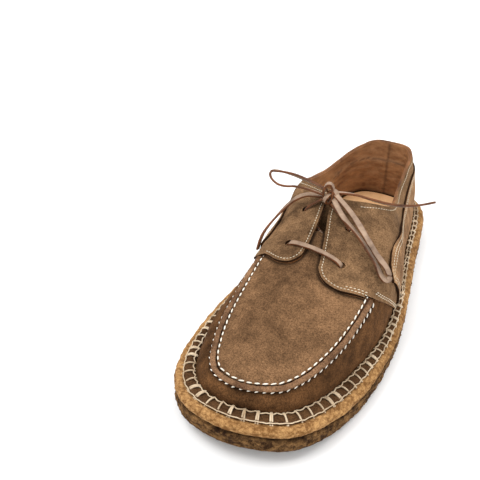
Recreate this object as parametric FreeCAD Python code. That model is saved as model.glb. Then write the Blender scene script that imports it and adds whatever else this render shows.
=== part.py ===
"""Left shoe of a pair of crepe-soled suede moccasins with a two-eyelet leather lace.

Millimetres. Origin under the middle of the sole, toe towards -Y, heel towards +Y, outer side of
the foot +X, up +Z. The upper is one smooth form, S(u, v): u runs once round the sole from the
heel, along the outer side, and v climbs from the sole (0) over the shoulder (1) to the crest (2).
Every leather panel is a patch of that form, set in or out by a named offset.
"""
import FreeCAD, Part
import os
from math import hypot, pi, sqrt, tan

V = FreeCAD.Vector
os.makedirs("parts", exist_ok=True)

# ---- driving sizes --------------------------------------------------------------------------
LENGTH = 300.0            # crepe sole, toe to heel
WIDTH = 120.8             # crepe sole, across the ball
OUTSOLE_T = 11.0          # lower crepe layer
MIDSOLE_T = 6.0           # upper crepe layer
HEEL_RISE = 5.0           # extra height of the foot bed at the heel
TOE_SPRING = 9.5          # how far the tip of the sole curls off the ground
LEATHER_T = 1.6           # suede of vamp, apron, quarters and counter
LINING_T = 1.0            # lining leather
STIFFENER_T = 1.2         # heel stiffener between quarter and lining
FLANGE_T = 1.6            # turned-out edge that is sewn to the sole
BOARD_T = 2.0             # insole board
SOCK_T = 1.5              # sock lining
TONGUE_T = 1.8
ROLL_R = 1.7              # rolled seam round the apron
THREAD_R = 0.6            # waxed thread of the sole stitching
FINE_R = 0.4              # thread of the seams
LACE_D = 2.6              # round section of the same area as the flat thong
KNOT_R = 4.2
RUNG_PITCH = 6.6          # sole stitches
STITCH_PITCH = 3.6        # seam stitches
STITCH_L = 2.3
VAMP_BACK = 10.0          # the vamp runs under the quarters to here
APRON_BACK = -26.0        # hidden rear edge of the apron, under the tabs
SEAM_BACK_OUT = -54.0     # rear ends of the rolled seam, just in front of the tabs
SEAM_BACK_IN = -46.0
GROOVE_V = .955           # top edge of the vamp wall
ROLL_V = 1.02
APRON_V = 1.085
INNER_ROW_V = 1.13
OUTER_ROW_V = .90
TONGUE_HALF = 20.0
TONGUE_BACK = 34.0
FOLD_Y = -37.0            # fold line of the tongue
ROOT_L = 12.0             # sewn root in front of the fold
COUNTER_FRONT = -21.5     # foremost point of the heel counter
COUNTER_FOOT = -3.0       # where its front edge comes down to the sole
COUNTER_BELOW = 5.6       # at least this far under the topline
STIFFENER_FRONT = 88.0

# ---- clearances -----------------------------------------------------------------------------
PLY_GAP = 0.15            # between two plies of leather
EDGE_GAP = 0.3            # round a cut edge
FOLD_GAP = 1.6            # between the tongue and its sewn root, along the fold
STITCH_LIFT = 0.2         # seam thread above the leather
RUNG_LIFT = 0.35          # ladder thread above the flange
LACE_PLAY = 1.3           # round the lace in its hole
LACE_REST = 0.25          # lace above the leather it lies on
CROSSING_GAP = 1.0        # between the two lace crossings, and between them and the tongue
EYELET_R = LACE_D / 2 + LACE_PLAY
UPPER_CROSSING = LEATHER_T + PLY_GAP + LINING_T + LACE_D / 2 + .45
LOWER_CROSSING = UPPER_CROSSING + LACE_D + CROSSING_GAP
TONGUE_DROP = LOWER_CROSSING + LACE_D / 2 + CROSSING_GAP

# ---- the form: hand-chosen stations ---------------------------------------------------------
DRAWN_LENGTH = 300.0      # the stations below are drawn for a sole of this size
DRAWN_WIDTH = 120.8


def along(rows):
    """Rows of (distance along the shoe, value), stretched to the wanted length."""
    return [(y * LENGTH / DRAWN_LENGTH, value) for y, value in rows]


def place(points):
    """Points (x, y) or (x, y, z), stretched to the wanted width and length."""
    return [(p[0] * WIDTH / DRAWN_WIDTH, p[1] * LENGTH / DRAWN_LENGTH) + tuple(p[2:])
            for p in points]


# outline of the sole from the heel, outer side first: half widths as drawn, distance from toe
PLAN = [
    (1, 300), (28, 295), (41, 280), (47, 255), (51, 220), (56.5, 180), (61.5, 140), (62, 105),
    (58, 70), (47.5, 36), (32, 13), (9, 2), (-11, 0), (-32, 6), (-47, 22), (-56, 48), (-58.5, 80),
    (-57, 112), (-53, 150), (-50, 190), (-46.5, 235), (-39, 272), (-22, 294)]
# by distance along Y: width of the ledge outside the wall, outer and inner side
LEDGE_OUT = along([(-150, 14), (-80, 12.5), (-45, 9.5), (-20, 8.5), (10, 9.5), (40, 11.5),
                   (150, 12.5)])
LEDGE_IN = along([(-150, 14), (-100, 11), (-20, 10.5), (10, 12), (150, 12.5)])
# how far the shoulder leans in, as a share of the way to the crest
LEAN_OUT = along([(-150, .14), (-120, .10), (-86, .09), (-46, .13), (0, .14), (25, .17), (50, .26),
                  (75, .32), (100, .35), (150, .30)])
LEAN_IN = along([(-150, .14), (-120, .22), (-86, .27), (-46, .28), (-20, .27), (0, .22), (20, .15),
                 (46, .06), (90, .12), (150, .30)])
# height of the shoulder and of the crest
SHOULDER_OUT = along([(-150, 36.5), (-125, 38.5), (-86, 45), (-46, 53), (0, 61), (25, 65), (50, 67),
                      (75, 68), (100, 72), (150, 84)])
SHOULDER_IN = along([(-150, 36.5), (-125, 38.5), (-86, 45), (-46, 53), (0, 62), (25, 68), (50, 72),
                     (75, 71), (100, 73), (150, 84)])
# height of the crown half way between shoulder and crest, as a share of that rise
CROWN = along([(-150, .70), (-130, .64), (-100, .54), (-46, .60), (0, .68), (150, .72)])
CREST_X = [(y, x) for x, y in place([(3, -95), (-1, -40), (-6, 10), (-3, 60), (0, 105)])]
CREST_Z = along([(-95, 47), (-60, 56), (-30, 64.5), (0, 74.5), (18, 79), (40, 80), (70, 80),
                 (105, 88)])
# height of the topline, outer and inner side, and top edge of the heel counter
TOPLINE_OUT = along([(8, 84), (16, 79), (26, 75), (36, 70), (46, 67), (66, 65), (90, 67), (110, 71),
                     (134, 74)])
TOPLINE_IN = along([(8, 86), (16, 82), (26, 78.5), (45, 71), (70, 63), (90, 60.5), (111, 63.5),
                    (128, 70), (134, 74)])
COUNTER_TOP = along([(-22, 53), (-19, 57), (-13.7, 59.5), (-2.5, 62), (11.6, 62), (30, 58.5),
                     (53, 54), (75, 54.5), (94, 57.5), (140, 62)])
COUNTER_LOW = along([(-22, 50.5), (-14, 42), (-7, 31), (0, 19), (6, 6)])
# front edge of the quarters over the vamp, in plan, and the facing edge up to the topline
TAB_OUT = place([(62, -46), (39.5, -48.5), (30, -50.5), (21, -51), (12, -48.5), (6.8, -42.5),
                 (5.4, -36), (0.8, -16), (-4.2, 6), (-3.5, 30)])
TAB_IN = place([(-62, -20), (-42, -29.5), (-31.8, -37), (-21.8, -41.5), (-12.8, -41.4),
                (-7.8, -36.5), (-6.8, -29.5), (-6.8, -17.5), (-7.5, -4), (-8.6, 8), (-8.6, 30)])
EYELETS = dict(zip(("lower_in", "lower_out", "upper_in", "upper_out"),
                   place([(-19.3, -27), (18.3, -33.2), (-19.9, 3.3), (13.2, -5.1)])))
# front edge of the quarters on the wall, (y, z) at the sole and over the shoulder
FRONT_OUT = along([(-2, 15), (-50, 58)])
FRONT_IN = along([(2, 15), (-44, 58)])


def clip(x, low=0.0, high=1.0):
    return max(low, min(high, x))


def smooth(x):
    x = clip(x)
    return x * x * (3 - 2 * x)


def table(rows, x):
    """Value at x on a smooth curve through the rows."""
    if x <= rows[0][0]:
        return rows[0][1]
    if x >= rows[-1][0]:
        return rows[-1][1]
    last = len(rows) - 1
    i = max(k for k in range(last) if rows[k][0] <= x)

    def slope(k):
        if k in (0, last):
            return 0.0
        return (rows[k + 1][1] - rows[k - 1][1]) / (rows[k + 1][0] - rows[k - 1][0])

    h = rows[i + 1][0] - rows[i][0]
    t = (x - rows[i][0]) / h
    return ((2 * t**3 - 3 * t * t + 1) * rows[i][1] + (t**3 - 2 * t * t + t) * slope(i) * h
            + (3 * t * t - 2 * t**3) * rows[i + 1][1] + (t**3 - t * t) * slope(i + 1) * h)


class Ring:
    """Closed smooth curve through plan points, by share of its length."""

    def __init__(self, points):
        self.p = points
        self.n = len(points)
        self.h = [hypot(points[(i + 1) % self.n][0] - points[i][0],
                        points[(i + 1) % self.n][1] - points[i][1]) for i in range(self.n)]
        self.t = [0.0]
        for h in self.h:
            self.t.append(self.t[-1] + h)

    def tangent(self, i):
        i %= self.n
        a, b = self.p[i - 1], self.p[(i + 1) % self.n]
        h = self.h[i - 1] + self.h[i]
        return (b[0] - a[0]) / h, (b[1] - a[1]) / h

    def at(self, u):
        t = (u % 1.0) * self.t[-1]
        i = max(k for k in range(self.n) if self.t[k] <= t)
        h = self.h[i]
        w = (t - self.t[i]) / h
        p, q = self.p[i], self.p[(i + 1) % self.n]
        m, n = self.tangent(i), self.tangent(i + 1)
        return tuple((2 * w**3 - 3 * w * w + 1) * p[k] + (w**3 - 2 * w * w + w) * h * m[k]
                     + (3 * w * w - 2 * w**3) * q[k] + (w**3 - w * w) * h * n[k]
                     for k in (0, 1))


def fitted_outline():
    """The drawn outline, scaled and centred to the sole's length and width."""
    drawn = Ring([(x, s - DRAWN_LENGTH / 2) for x, s in PLAN])
    many = [drawn.at(i / 4000) for i in range(4000)]
    low = [min(p[k] for p in many) for k in (0, 1)]
    high = [max(p[k] for p in many) for k in (0, 1)]
    scale = [WIDTH / (high[0] - low[0]), LENGTH / (high[1] - low[1])]
    return Ring([tuple((p[k] - (low[k] + high[k]) / 2) * scale[k] for k in (0, 1))
                 for p in drawn.p])


OUTLINE = fitted_outline()


def inset(u, d):
    """Point d inside the sole's outline."""
    p, a, b = OUTLINE.at(u), OUTLINE.at(u - .003), OUTLINE.at(u + .003)
    h = hypot(b[0] - a[0], b[1] - a[1])
    return p[0] + d * (b[1] - a[1]) / h, p[1] - d * (b[0] - a[0]) / h


def curl(y):
    """0 on the flat tread, growing to 1 at the tip of the toe."""
    return clip((-y * 2 / LENGTH - .4667) / .5333)**2


def heel(y):
    return smooth(y * 2 / LENGTH)


def z_ground(y):
    return TOE_SPRING * curl(y) - .4 * (1 - curl(y))


def z_seam(y):
    return OUTSOLE_T + (TOE_SPRING + .5) * curl(y) + HEEL_RISE * .6 * heel(y)


def z_top(y):
    return OUTSOLE_T + MIDSOLE_T + (TOE_SPRING + 1) * curl(y) + HEEL_RISE * heel(y)


def side(u):
    """1 on the outer side of the foot, 0 on the inner side."""
    return smooth((OUTLINE.at(u)[0] / (.2357 * WIDTH) + 1) / 2)


def ledge(u):
    w, y = side(u), OUTLINE.at(u)[1]
    return w * table(LEDGE_OUT, y) + (1 - w) * table(LEDGE_IN, y)


def ribs(u):
    """The five points of the cross-section at u."""
    oy, w = OUTLINE.at(u)[1], side(u)
    foot = inset(u, ledge(u))
    z0 = z_top(foot[1])
    ky = (oy + LENGTH / 40) * 2 / 3
    crest = (table(CREST_X, ky), ky)
    lean = w * table(LEAN_OUT, oy) + (1 - w) * table(LEAN_IN, oy)
    z1 = w * table(SHOULDER_OUT, oy) + (1 - w) * table(SHOULDER_IN, oy)
    z2 = table(CREST_Z, ky)
    out = inset(u, ledge(u) - 1.2)
    shoulder = [foot[k] + lean * (crest[k] - foot[k]) for k in (0, 1)]
    wall = [out[k] + .3 * (shoulder[k] - foot[k]) for k in (0, 1)]
    crown = [shoulder[k] + .48 * (crest[k] - shoulder[k]) for k in (0, 1)]
    return [(foot[0], foot[1], z0), (wall[0], wall[1], (z0 + z1) / 2),
            (shoulder[0], shoulder[1], z1), (crown[0], crown[1], z1 + table(CROWN, oy) * (z2 - z1)),
            (crest[0], crest[1], z2)]


def span(a, b):
    return sqrt(sum((b[k] - a[k])**2 for k in range(3)))


def form(u, v, r=None):
    """Point S(u, v) of the form."""
    r = r or ribs(u)
    v = clip(v, 0, 2)
    i = min(3, int(v * 2))
    t = v * 2 - i
    a, b = r[i], r[i + 1]
    before = r[i - 1] if i else tuple(2 * a[k] - b[k] for k in range(3))
    after = r[i + 2] if i < 3 else (2 * b[0] - a[0], 2 * b[1] - a[1], a[2])

    def tangent(p, q, s):
        h, g = span(p, q), span(q, s)
        return [((q[k] - p[k]) / h * g + (s[k] - q[k]) / g * h) / (h + g) for k in range(3)]

    h = span(a, b)
    m, n = tangent(before, a, b), tangent(a, b, after)
    return tuple((2 * t**3 - 3 * t * t + 1) * a[k] + (t**3 - 2 * t * t + t) * h * m[k]
                 + (3 * t * t - 2 * t**3) * b[k] + (t**3 - t * t) * h * n[k] for k in range(3))


def out_from(u, v, offset=0.0):
    """Point of the form moved outwards by offset."""
    du = [q - p for p, q in zip(form(u - .002, v), form(u + .002, v))]
    v = clip(v, .01, 1.985)
    dv = [q - p for p, q in zip(form(u, v - .01), form(u, v + .01))]
    n = (du[1] * dv[2] - du[2] * dv[1], du[2] * dv[0] - du[0] * dv[2],
         du[0] * dv[1] - du[1] * dv[0])
    h = -sqrt(sum(c * c for c in n))
    p = form(u, v)
    return V(*(p[k] + offset * n[k] / h for k in range(3)))


SAMPLES = [(i / 240, 1 + j / 12, form(i / 240, 1 + j / 12)) for i in range(240) for j in range(13)]


def on_top(x, y, offset=0.0):
    """Point of the top surface over plan point (x, y), continued outwards past the shoulder."""
    u, v, p = min(SAMPLES, key=lambda s: (s[2][0] - x)**2 + (s[2][1] - y)**2)
    for _ in range(4):
        v = clip(v, 1.0, 1.985)
        p, q, r = form(u, v), form(u + .002, v), form(u, v + .01)
        a, b, c, d = q[0] - p[0], r[0] - p[0], q[1] - p[1], r[1] - p[1]
        det = a * d - b * c
        if abs(det) < 1e-7:
            break
        s = ((x - p[0]) * d - (y - p[1]) * b) / det
        t = ((y - p[1]) * a - (x - p[0]) * c) / det
        u += clip(s, -4, 4) * .002
        v += clip(t, -8, 8) * .01
    v = clip(v, 1.0, 1.985)
    p, q, r = form(u, v), form(u + .002, v), form(u, v + .01)
    du, dv = [q[k] - p[k] for k in range(3)], [r[k] - p[k] for k in range(3)]
    n = [du[1] * dv[2] - du[2] * dv[1], du[2] * dv[0] - du[0] * dv[2],
         du[0] * dv[1] - du[1] * dv[0]]
    slope = [-n[0] / n[2], -n[1] / n[2]]
    z = p[2] + slope[0] * (x - p[0]) + slope[1] * (y - p[1])
    h = sqrt(1 + slope[0]**2 + slope[1]**2)
    return V(x - offset * slope[0] / h, y - offset * slope[1] / h, z + offset / h)


# ---- solids ---------------------------------------------------------------------------------
def smooth_surface(grid):
    """Smooth surface near a grid of points, as close as the points allow."""
    surface = Part.BSplineSurface()
    for tolerance in (.02, .03, .05, .1):
        try:
            surface.approximate(Points=grid, DegMin=3, DegMax=5, Continuity=2,
                                Tolerance=tolerance)
            return surface
        except Part.OCCError:
            continue
    surface.interpolate(grid)
    return surface


def solid_between(outer, inner):
    """Closed solid between two grids of points."""
    faces = []
    edges = []
    for grid in (outer, inner):
        surface = smooth_surface(grid)
        faces.append(surface.toShape())
        u0, u1, v0, v1 = surface.bounds()
        edges.append([surface.uIso(u0).toShape(v0, v1), surface.uIso(u1).toShape(v0, v1),
                      surface.vIso(v0).toShape(u0, u1), surface.vIso(v1).toShape(u0, u1)])
    for a, b in zip(*edges):
        faces.append(Part.makeRuledSurface(a, b))
    shell = Part.makeShell(faces)
    shell.sewShape()
    solid = Part.makeSolid(shell)
    if solid.Volume < 0:
        solid.reverse()
    return solid


def panel(u0, u1, v0, v1, low, high, nu, nv):
    """Leather patch of the form; low and high are offsets or functions of (u, v)."""
    def grid(off):
        at = off if callable(off) else (lambda u, v: off)
        rows = []
        for i in range(nu + 1):
            u = u0 + (u1 - u0) * i / nu
            a = v0(u) if callable(v0) else v0
            b = v1(u) if callable(v1) else v1
            rows.append([out_from(u, a + (b - a) * j / nv, at(u, a + (b - a) * j / nv))
                         for j in range(nv + 1)])
        return rows
    return solid_between(grid(high), grid(low))


def sheet_on_top(x0, x1, y0, y1, low, high, nx, ny):
    """Patch laid over the top surface; x0 and x1 are functions of y."""
    def grid(off):
        rows = []
        for j in range(ny + 1):
            y = y0 + (y1 - y0) * j / ny
            rows.append([on_top(x0(y) + (x1(y) - x0(y)) * i / nx, y, off)
                         for i in range(nx + 1)])
        return rows
    return solid_between(grid(high), grid(low))


def curve(points, periodic=False):
    line = Part.BSplineCurve()
    line.interpolate([p if isinstance(p, V) else V(*p) for p in points], PeriodicFlag=periodic)
    return line.toShape()


def plan_prism(points, z0=-20.0, z1=140.0):
    """Upright prism over a closed smooth plan curve."""
    wire = Part.Wire([curve([(p[0], p[1], z0) for p in points], True)])
    return Part.Face(wire).extrude(V(0, 0, z1 - z0))


def layer(low, high):
    """Slab between two heights that vary along the shoe."""
    ys = [LENGTH / 30 * i - .5667 * LENGTH for i in range(35)]
    x = -WIDTH
    a = curve([(x, y, low(y)) for y in ys])
    b = curve([(x, y, high(y)) for y in ys])
    ends = [Part.makeLine(V(x, y, low(y)), V(x, y, high(y))) for y in (ys[0], ys[-1])]
    return Part.Face(Part.Wire([a, ends[1], b, ends[0]])).extrude(V(2 * WIDTH, 0, 0))


def ring_points(depth, count=96):
    return [inset(i / count, depth(i / count)) for i in range(count)]


def rod(a, b, radius):
    d = b.sub(a)
    return Part.makeCylinder(radius, d.Length, a, d)


def tube(points, diameter, name):
    """Round lace along straight runs joined by tangent arcs; prints the arc radii."""
    p = [V(*q) for q in points]
    radii = []
    edges = []
    start = p[0]
    for i in range(1, len(p) - 1):
        a, b = p[i].sub(p[i - 1]), p[i + 1].sub(p[i])
        half = a.getAngle(b) / 2
        run = .45 * min(a.Length, b.Length)
        radii.append(run / tan(half))
        a.normalize()
        b.normalize()
        enter, leave = p[i].sub(a.multiply(run)), p[i].add(V(b).multiply(run))
        bisector = b.sub(a.normalize())
        bisector.normalize()
        centre = p[i].add(V(bisector).multiply(hypot(radii[-1], run)))
        middle = centre.sub(V(bisector).multiply(radii[-1]))
        edges += [Part.makeLine(start, enter), Part.Arc(enter, middle, leave).toShape()]
        start = leave
    edges.append(Part.makeLine(start, p[-1]))
    path = Part.Wire(edges)
    first = p[1].sub(p[0])
    section = Part.Wire([Part.makeCircle(diameter / 2, p[0], first)])
    solid = path.makePipeShell([section], True, True)
    ideal = pi * diameter**2 / 4 * path.Length
    print("tube %s: length %.1f radii %s volume/ideal %.4f" % (
        name, path.Length, " ".join("%.1f" % r for r in radii), solid.Volume / ideal))
    return solid


def stitches(points, radius, length=STITCH_L, pitch=STITCH_PITCH):
    """Short stitches laid end to end along a polyline of points."""
    walk = [0.0]
    for a, b in zip(points, points[1:]):
        walk.append(walk[-1] + b.sub(a).Length)

    def at(s):
        i = max(k for k in range(len(points) - 1) if walk[k] <= s)
        t = (s - walk[i]) / (walk[i + 1] - walk[i])
        return points[i].add(points[i + 1].sub(points[i]).multiply(t))

    count = int((walk[-1] - length) / pitch)
    return [rod(at(k * pitch), at(k * pitch + length), radius) for k in range(count + 1)]


def export(name, shape):
    shape = shape.removeSplitter() if shape.ShapeType == "Solid" else shape
    good = all(s.isValid() and s.Volume > 0 for s in shape.Solids)
    print("%-28s solids %3d volume %9.1f valid %s" % (
        name, len(shape.Solids), shape.Volume, good))
    shape.exportStep("parts/%s.step" % name)


# ---- crepe sole and foot bed ----------------------------------------------------------------
below_ground = Part.makeBox(2 * WIDTH, 2 * LENGTH, 20, V(-WIDTH, -LENGTH, -20))
outsole = plan_prism(ring_points(lambda u: 0)).common(layer(z_ground, z_seam))
export("outsole", outsole.cut(below_ground))
export("midsole", plan_prism(ring_points(lambda u: .6)).common(layer(z_seam, z_top)))
lining_low = -LEATHER_T - PLY_GAP - LINING_T
foot_edge = ring_points(lambda u: ledge(u) - lining_low + STIFFENER_T + 1)
export("insole_board", plan_prism(foot_edge).common(
    layer(z_top, lambda y: z_top(y) + BOARD_T)))
export("sock_lining", plan_prism(foot_edge).common(
    layer(lambda y: z_top(y) + BOARD_T, lambda y: z_top(y) + BOARD_T + SOCK_T)))


def flange_edge(u):
    """Distance from the sole's outline to the outer edge of the flange."""
    return .42 * ledge(u)


flange = plan_prism(ring_points(flange_edge)).cut(
    plan_prism(ring_points(lambda u: ledge(u) - EDGE_GAP)))
export("flange", flange.common(layer(z_top, lambda y: z_top(y) + FLANGE_T)))

# ---- vamp wall, apron and their linings -----------------------------------------------------
def u_at(y, outer):
    """u of the outline point at y on the outer or the inner side."""
    low, high = (.02, .48) if outer else (.98, .52)
    for _ in range(40):
        mid = (low + high) / 2
        if OUTLINE.at(mid)[1] > y:
            low = mid
        else:
            high = mid
    return (low + high) / 2


u_back_out, u_back_in = u_at(VAMP_BACK, True), u_at(VAMP_BACK, False)
export("vamp", panel(u_back_out, u_back_in, .012, GROOVE_V, -LEATHER_T, 0, 90, 8))
lining_high = lining_low + LINING_T
export("vamp_lining", panel(u_back_out, u_back_in, .012, .93, lining_low, lining_high, 90, 8))


def toe_prism(v, back):
    """Upright prism inside the line v, from the toe to a rear edge across the shoe."""
    a, b = u_at(back, True) - .02, u_at(back, False) + .02
    rim = [form(a + (b - a) * i / 70, v) for i in range(71)]
    arc = curve([(p[0], p[1], -20) for p in rim])
    ends = Part.makeLine(V(rim[-1][0], rim[-1][1], -20), V(rim[0][0], rim[0][1], -20))
    prism = Part.Face(Part.Wire([arc, ends])).extrude(V(0, 0, 160))
    return prism.cut(Part.makeBox(2 * LENGTH, LENGTH, 200, V(-LENGTH, back, -30)))


def eyelet_cutter(name):
    x, y = EYELETS[name]
    return rod(on_top(x, y, -6), on_top(x, y, 8), EYELET_R)


def top_panel(low, high, v, back):
    """Panel over the top of the foot, with the lower lace holes."""
    sheet = sheet_on_top(lambda y: -.421 * WIDTH, lambda y: .522 * WIDTH, -.4733 * LENGTH,
                         APRON_BACK + 14, low, high, 34, 34)
    sheet = sheet.common(toe_prism(v, back))
    for name in ("lower_in", "lower_out"):
        sheet = sheet.cut(eyelet_cutter(name))
    return max(sheet.Solids, key=lambda s: s.Volume)


export("apron", top_panel(-LEATHER_T, 0, APRON_V, APRON_BACK))
export("apron_lining", top_panel(lining_low, lining_high, APRON_V + .045, APRON_BACK - 2))

# ---- quarters, counter, stiffener and quarter linings ----------------------------------------
Q_LOW = PLY_GAP
Q_HIGH = PLY_GAP + LEATHER_T
QL_HIGH = 0.0
C_LOW = Q_HIGH + PLY_GAP
C_HIGH = C_LOW + LEATHER_T


STIFFENER_ROOM = along([(70, 20), (84, 40), (104, 52), (150, 58)])
STIFFENER_TOP = along([(84, 24), (92, 36), (106, 46), (150, 53)])


def stiff(u, v):
    """1 where the heel stiffener sits, 0 away from it."""
    p = form(u, v)
    edge = table(STIFFENER_ROOM, p[1])
    return smooth((edge - p[2]) / 5 + .5) if p[1] > LENGTH / 5 else 0.0


def ql_high(u, v):
    return QL_HIGH - (STIFFENER_T + PLY_GAP) * stiff(u, v)


def ql_low(u, v):
    return ql_high(u, v) - LINING_T


def above_topline(rows):
    """Everything above one side's topline, as a prism across the shoe."""
    back = .55 * LENGTH
    points = [V(-WIDTH, y, z) for y, z in rows + [(back, rows[-1][1] + 1)]]
    edge = curve(points)
    front = rows[0][0] - 12
    corners = [points[-1], V(-WIDTH, back, 200), V(-WIDTH, front, 200), points[0]]
    wire = Part.Wire([edge] + [Part.makeLine(a, b) for a, b in zip(corners, corners[1:])])
    return Part.Face(wire).extrude(V(2 * WIDTH, 0, 0))


def behind_tab(points, sign, grow=0.0):
    """Upright prism over the part of the shoe behind a quarter's front and facing edges."""
    line = [V(x + sign * grow, y + grow, -30) for x, y in points]
    edge = curve(line)
    seam = sign * EDGE_GAP / 2
    corners = [line[-1], V(seam, LENGTH / 5, -30), V(seam, .6 * LENGTH, -30),
               V(sign * WIDTH, .6 * LENGTH, -30), V(sign * WIDTH, line[0].y, -30), line[0]]
    wire = Part.Wire([edge] + [Part.makeLine(a, b) for a, b in zip(corners, corners[1:])])
    return Part.Face(wire).extrude(V(0, 0, 200))


def before_front(sign, grow=0.0):
    """Wedge in front of a quarter's sloping lower edge."""
    (y0, z0), (y1, z1) = FRONT_OUT if sign > 0 else FRONT_IN
    y0, y1 = y0 + grow, y1 + grow
    toe = -.55 * LENGTH
    corners = [V(0, y0 + (y0 - y1) * .3, z0 - (z1 - z0) * .3), V(0, y1, z1), V(0, toe, z1),
               V(0, toe, -40), V(0, y0, -40)]
    face = Part.Face(Part.makePolygon(corners + corners[:1]))
    return face.extrude(V(sign * WIDTH, 0, 0))


def quarter(outer, low, high, grow=0.0, v_low=.05):
    """One quarter, or its lining with grow > 0 at the front."""
    sign = 1 if outer else -1
    u0, u1 = (-.012, u_at(-62, True)) if outer else (u_at(-50, False), 1.012)
    body = panel(u0, u1, v_low, 1.975, low, high, 46, 22)
    body = body.common(behind_tab(TAB_OUT if outer else TAB_IN, sign, grow))
    body = body.cut(before_front(sign, grow))
    body = body.cut(above_topline(TOPLINE_OUT if outer else TOPLINE_IN))
    names = ("lower_out", "upper_out") if outer else ("lower_in", "upper_in")
    for name in names:
        body = body.cut(eyelet_cutter(name))
    return max(body.Solids, key=lambda s: s.Volume)


for outer, name in ((True, "quarter_lateral"), (False, "quarter_medial")):
    export(name, quarter(outer, Q_LOW, Q_HIGH))
for outer, name in ((True, "quarter_lining_lateral"), (False, "quarter_lining_medial")):
    body = quarter(outer, ql_low, ql_high, .6, .02)
    body = body.cut(Part.makeBox(2 * WIDTH, LENGTH, 300, V(-WIDTH, VAMP_BACK + 12 - LENGTH, -60)))
    export(name, max(body.Solids, key=lambda s: s.Volume))


def v_at_height(u, z):
    """v where the wall at u reaches height z."""
    low, high = 0.0, 1.2
    r = ribs(u)
    for _ in range(30):
        mid = (low + high) / 2
        if form(u, mid, r)[2] < z:
            low = mid
        else:
            high = mid
    return (low + high) / 2


def counter_v(u):
    rows = TOPLINE_OUT if u % 1 < .5 else TOPLINE_IN
    highest = table(rows, form(u, .9)[1]) - COUNTER_BELOW
    return max(.09, v_at_height(u, min(highest, table(COUNTER_TOP, OUTLINE.at(u)[1]))))


def counter_low_v(u):
    return max(.05, v_at_height(u, table(COUNTER_LOW, OUTLINE.at(u)[1])))


export("heel_counter", panel(u_at(COUNTER_FRONT, False) - 1, u_at(COUNTER_FRONT, True),
                             counter_low_v, counter_v, C_LOW, C_HIGH, 90, 8))


def stiffener_v(u):
    return max(.06, v_at_height(u, table(STIFFENER_TOP, OUTLINE.at(u)[1]) - 3))


export("heel_stiffener", panel(u_at(STIFFENER_FRONT, False) - 1, u_at(STIFFENER_FRONT, True), .03,
                               stiffener_v, -PLY_GAP / 2 - STIFFENER_T, -PLY_GAP / 2, 40, 6))

# ---- tongue ---------------------------------------------------------------------------------
def tongue_x(sign):
    """Side edge of the tongue, drawn in towards its free end."""
    return lambda y: table(CREST_X, y) + sign * (
        TONGUE_HALF - 8 * clip((y - TONGUE_BACK + 14) / 14)**2)


export("tongue", sheet_on_top(tongue_x(-1), tongue_x(1), FOLD_Y + FOLD_GAP, TONGUE_BACK,
                              -TONGUE_DROP - TONGUE_T, -TONGUE_DROP, 16, 20))
export("tongue_root", sheet_on_top(tongue_x(-1), tongue_x(1), FOLD_Y - ROOT_L, FOLD_Y,
                                   lining_low - PLY_GAP - 4.0, lining_low - PLY_GAP, 10, 4))

# ---- stitched seams -------------------------------------------------------------------------
# rolled seam round the apron
a, b = u_at(SEAM_BACK_OUT, True), u_at(SEAM_BACK_IN, False)
roll_points = [out_from(a + (b - a) * i / 60, ROLL_V, ROLL_R * .35) for i in range(61)]
roll_path = curve(roll_points)
roll_start = Part.Wire([Part.makeCircle(ROLL_R, roll_points[0],
                                        roll_points[1].sub(roll_points[0]))])
export("apron_seam_roll", Part.Wire([roll_path]).makePipeShell([roll_start], True, False))


def line_on_form(u0, u1, v, offset, count=160):
    return [out_from(u0 + (u1 - u0) * i / count, v(u0 + (u1 - u0) * i / count)
                     if callable(v) else v, offset) for i in range(count + 1)]


above = FINE_R + STITCH_LIFT
inner_row = stitches(line_on_form(a, b, INNER_ROW_V, above), FINE_R)
outer_row = stitches(line_on_form(a, b, OUTER_ROW_V, above), FINE_R)
export("apron_inner_stitching", Part.makeCompound(inner_row))
export("apron_outer_stitching", Part.makeCompound(outer_row))

# ladder stitching through the flange into the crepe
rungs = []
length = sum(span((*OUTLINE.at(i / 400), 0), (*OUTLINE.at((i + 1) / 400), 0)) for i in range(400))
count = int(length / RUNG_PITCH)


def cover(u):
    """Outer face of the leather that stands on the sole at u."""
    y = OUTLINE.at(u)[1]
    return C_HIGH if y > COUNTER_FOOT else Q_HIGH if y > FRONT_OUT[0][0] - 6 else 0


for i in range(count):
    u = i / count
    inner_d, outer_d = ledge(u) - cover(u) - THREAD_R - 1, flange_edge(u) + .2
    pair = []
    for d in (inner_d, outer_d):
        x, y = inset(u, d)
        pair.append(V(x, y, z_top(y) + FLANGE_T + THREAD_R + RUNG_LIFT))
    rungs.append(rod(pair[0], pair[1], THREAD_R))
export("welt_stitching", Part.makeCompound(rungs))


def clear_of_lace(p):
    """Whether a stitch lies outside the lace bar and the lace holes."""
    (ax, ay), (bx, by) = EYELETS["lower_in"], EYELETS["lower_out"]
    off_bar = abs((p.x - ax) * (by - ay) - (p.y - ay) * (bx - ax)) / hypot(bx - ax, by - ay)
    holes = all(hypot(p.x - x, p.y - y) > EYELET_R + STITCH_L / 2 + FINE_R for x, y in
                EYELETS.values())
    return off_bar > LACE_D / 2 + STITCH_L / 2 + FINE_R and holes


# edge stitching of the quarters
for sign, tab, name in ((1, TAB_OUT, "quarter_stitching_lateral"),
                        (-1, TAB_IN, "quarter_stitching_medial")):
    rail = curve([(x, y, 0) for x, y in tab[1:-1]])
    flat = [rail.valueAt(rail.FirstParameter + (rail.LastParameter - rail.FirstParameter) * i / 60)
            for i in range(61)]
    row = []
    for p, q in zip(flat, flat[1:]):
        d = q.sub(p)
        d.normalize()
        row.append(on_top(p.x + sign * abs(d.y) * 3.2, p.y + abs(d.x) * 3.2, Q_HIGH + above))
    sewn = [s for s in stitches(row, FINE_R) if clear_of_lace(s.CenterOfMass)]
    export(name, Part.makeCompound(sewn))


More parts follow.
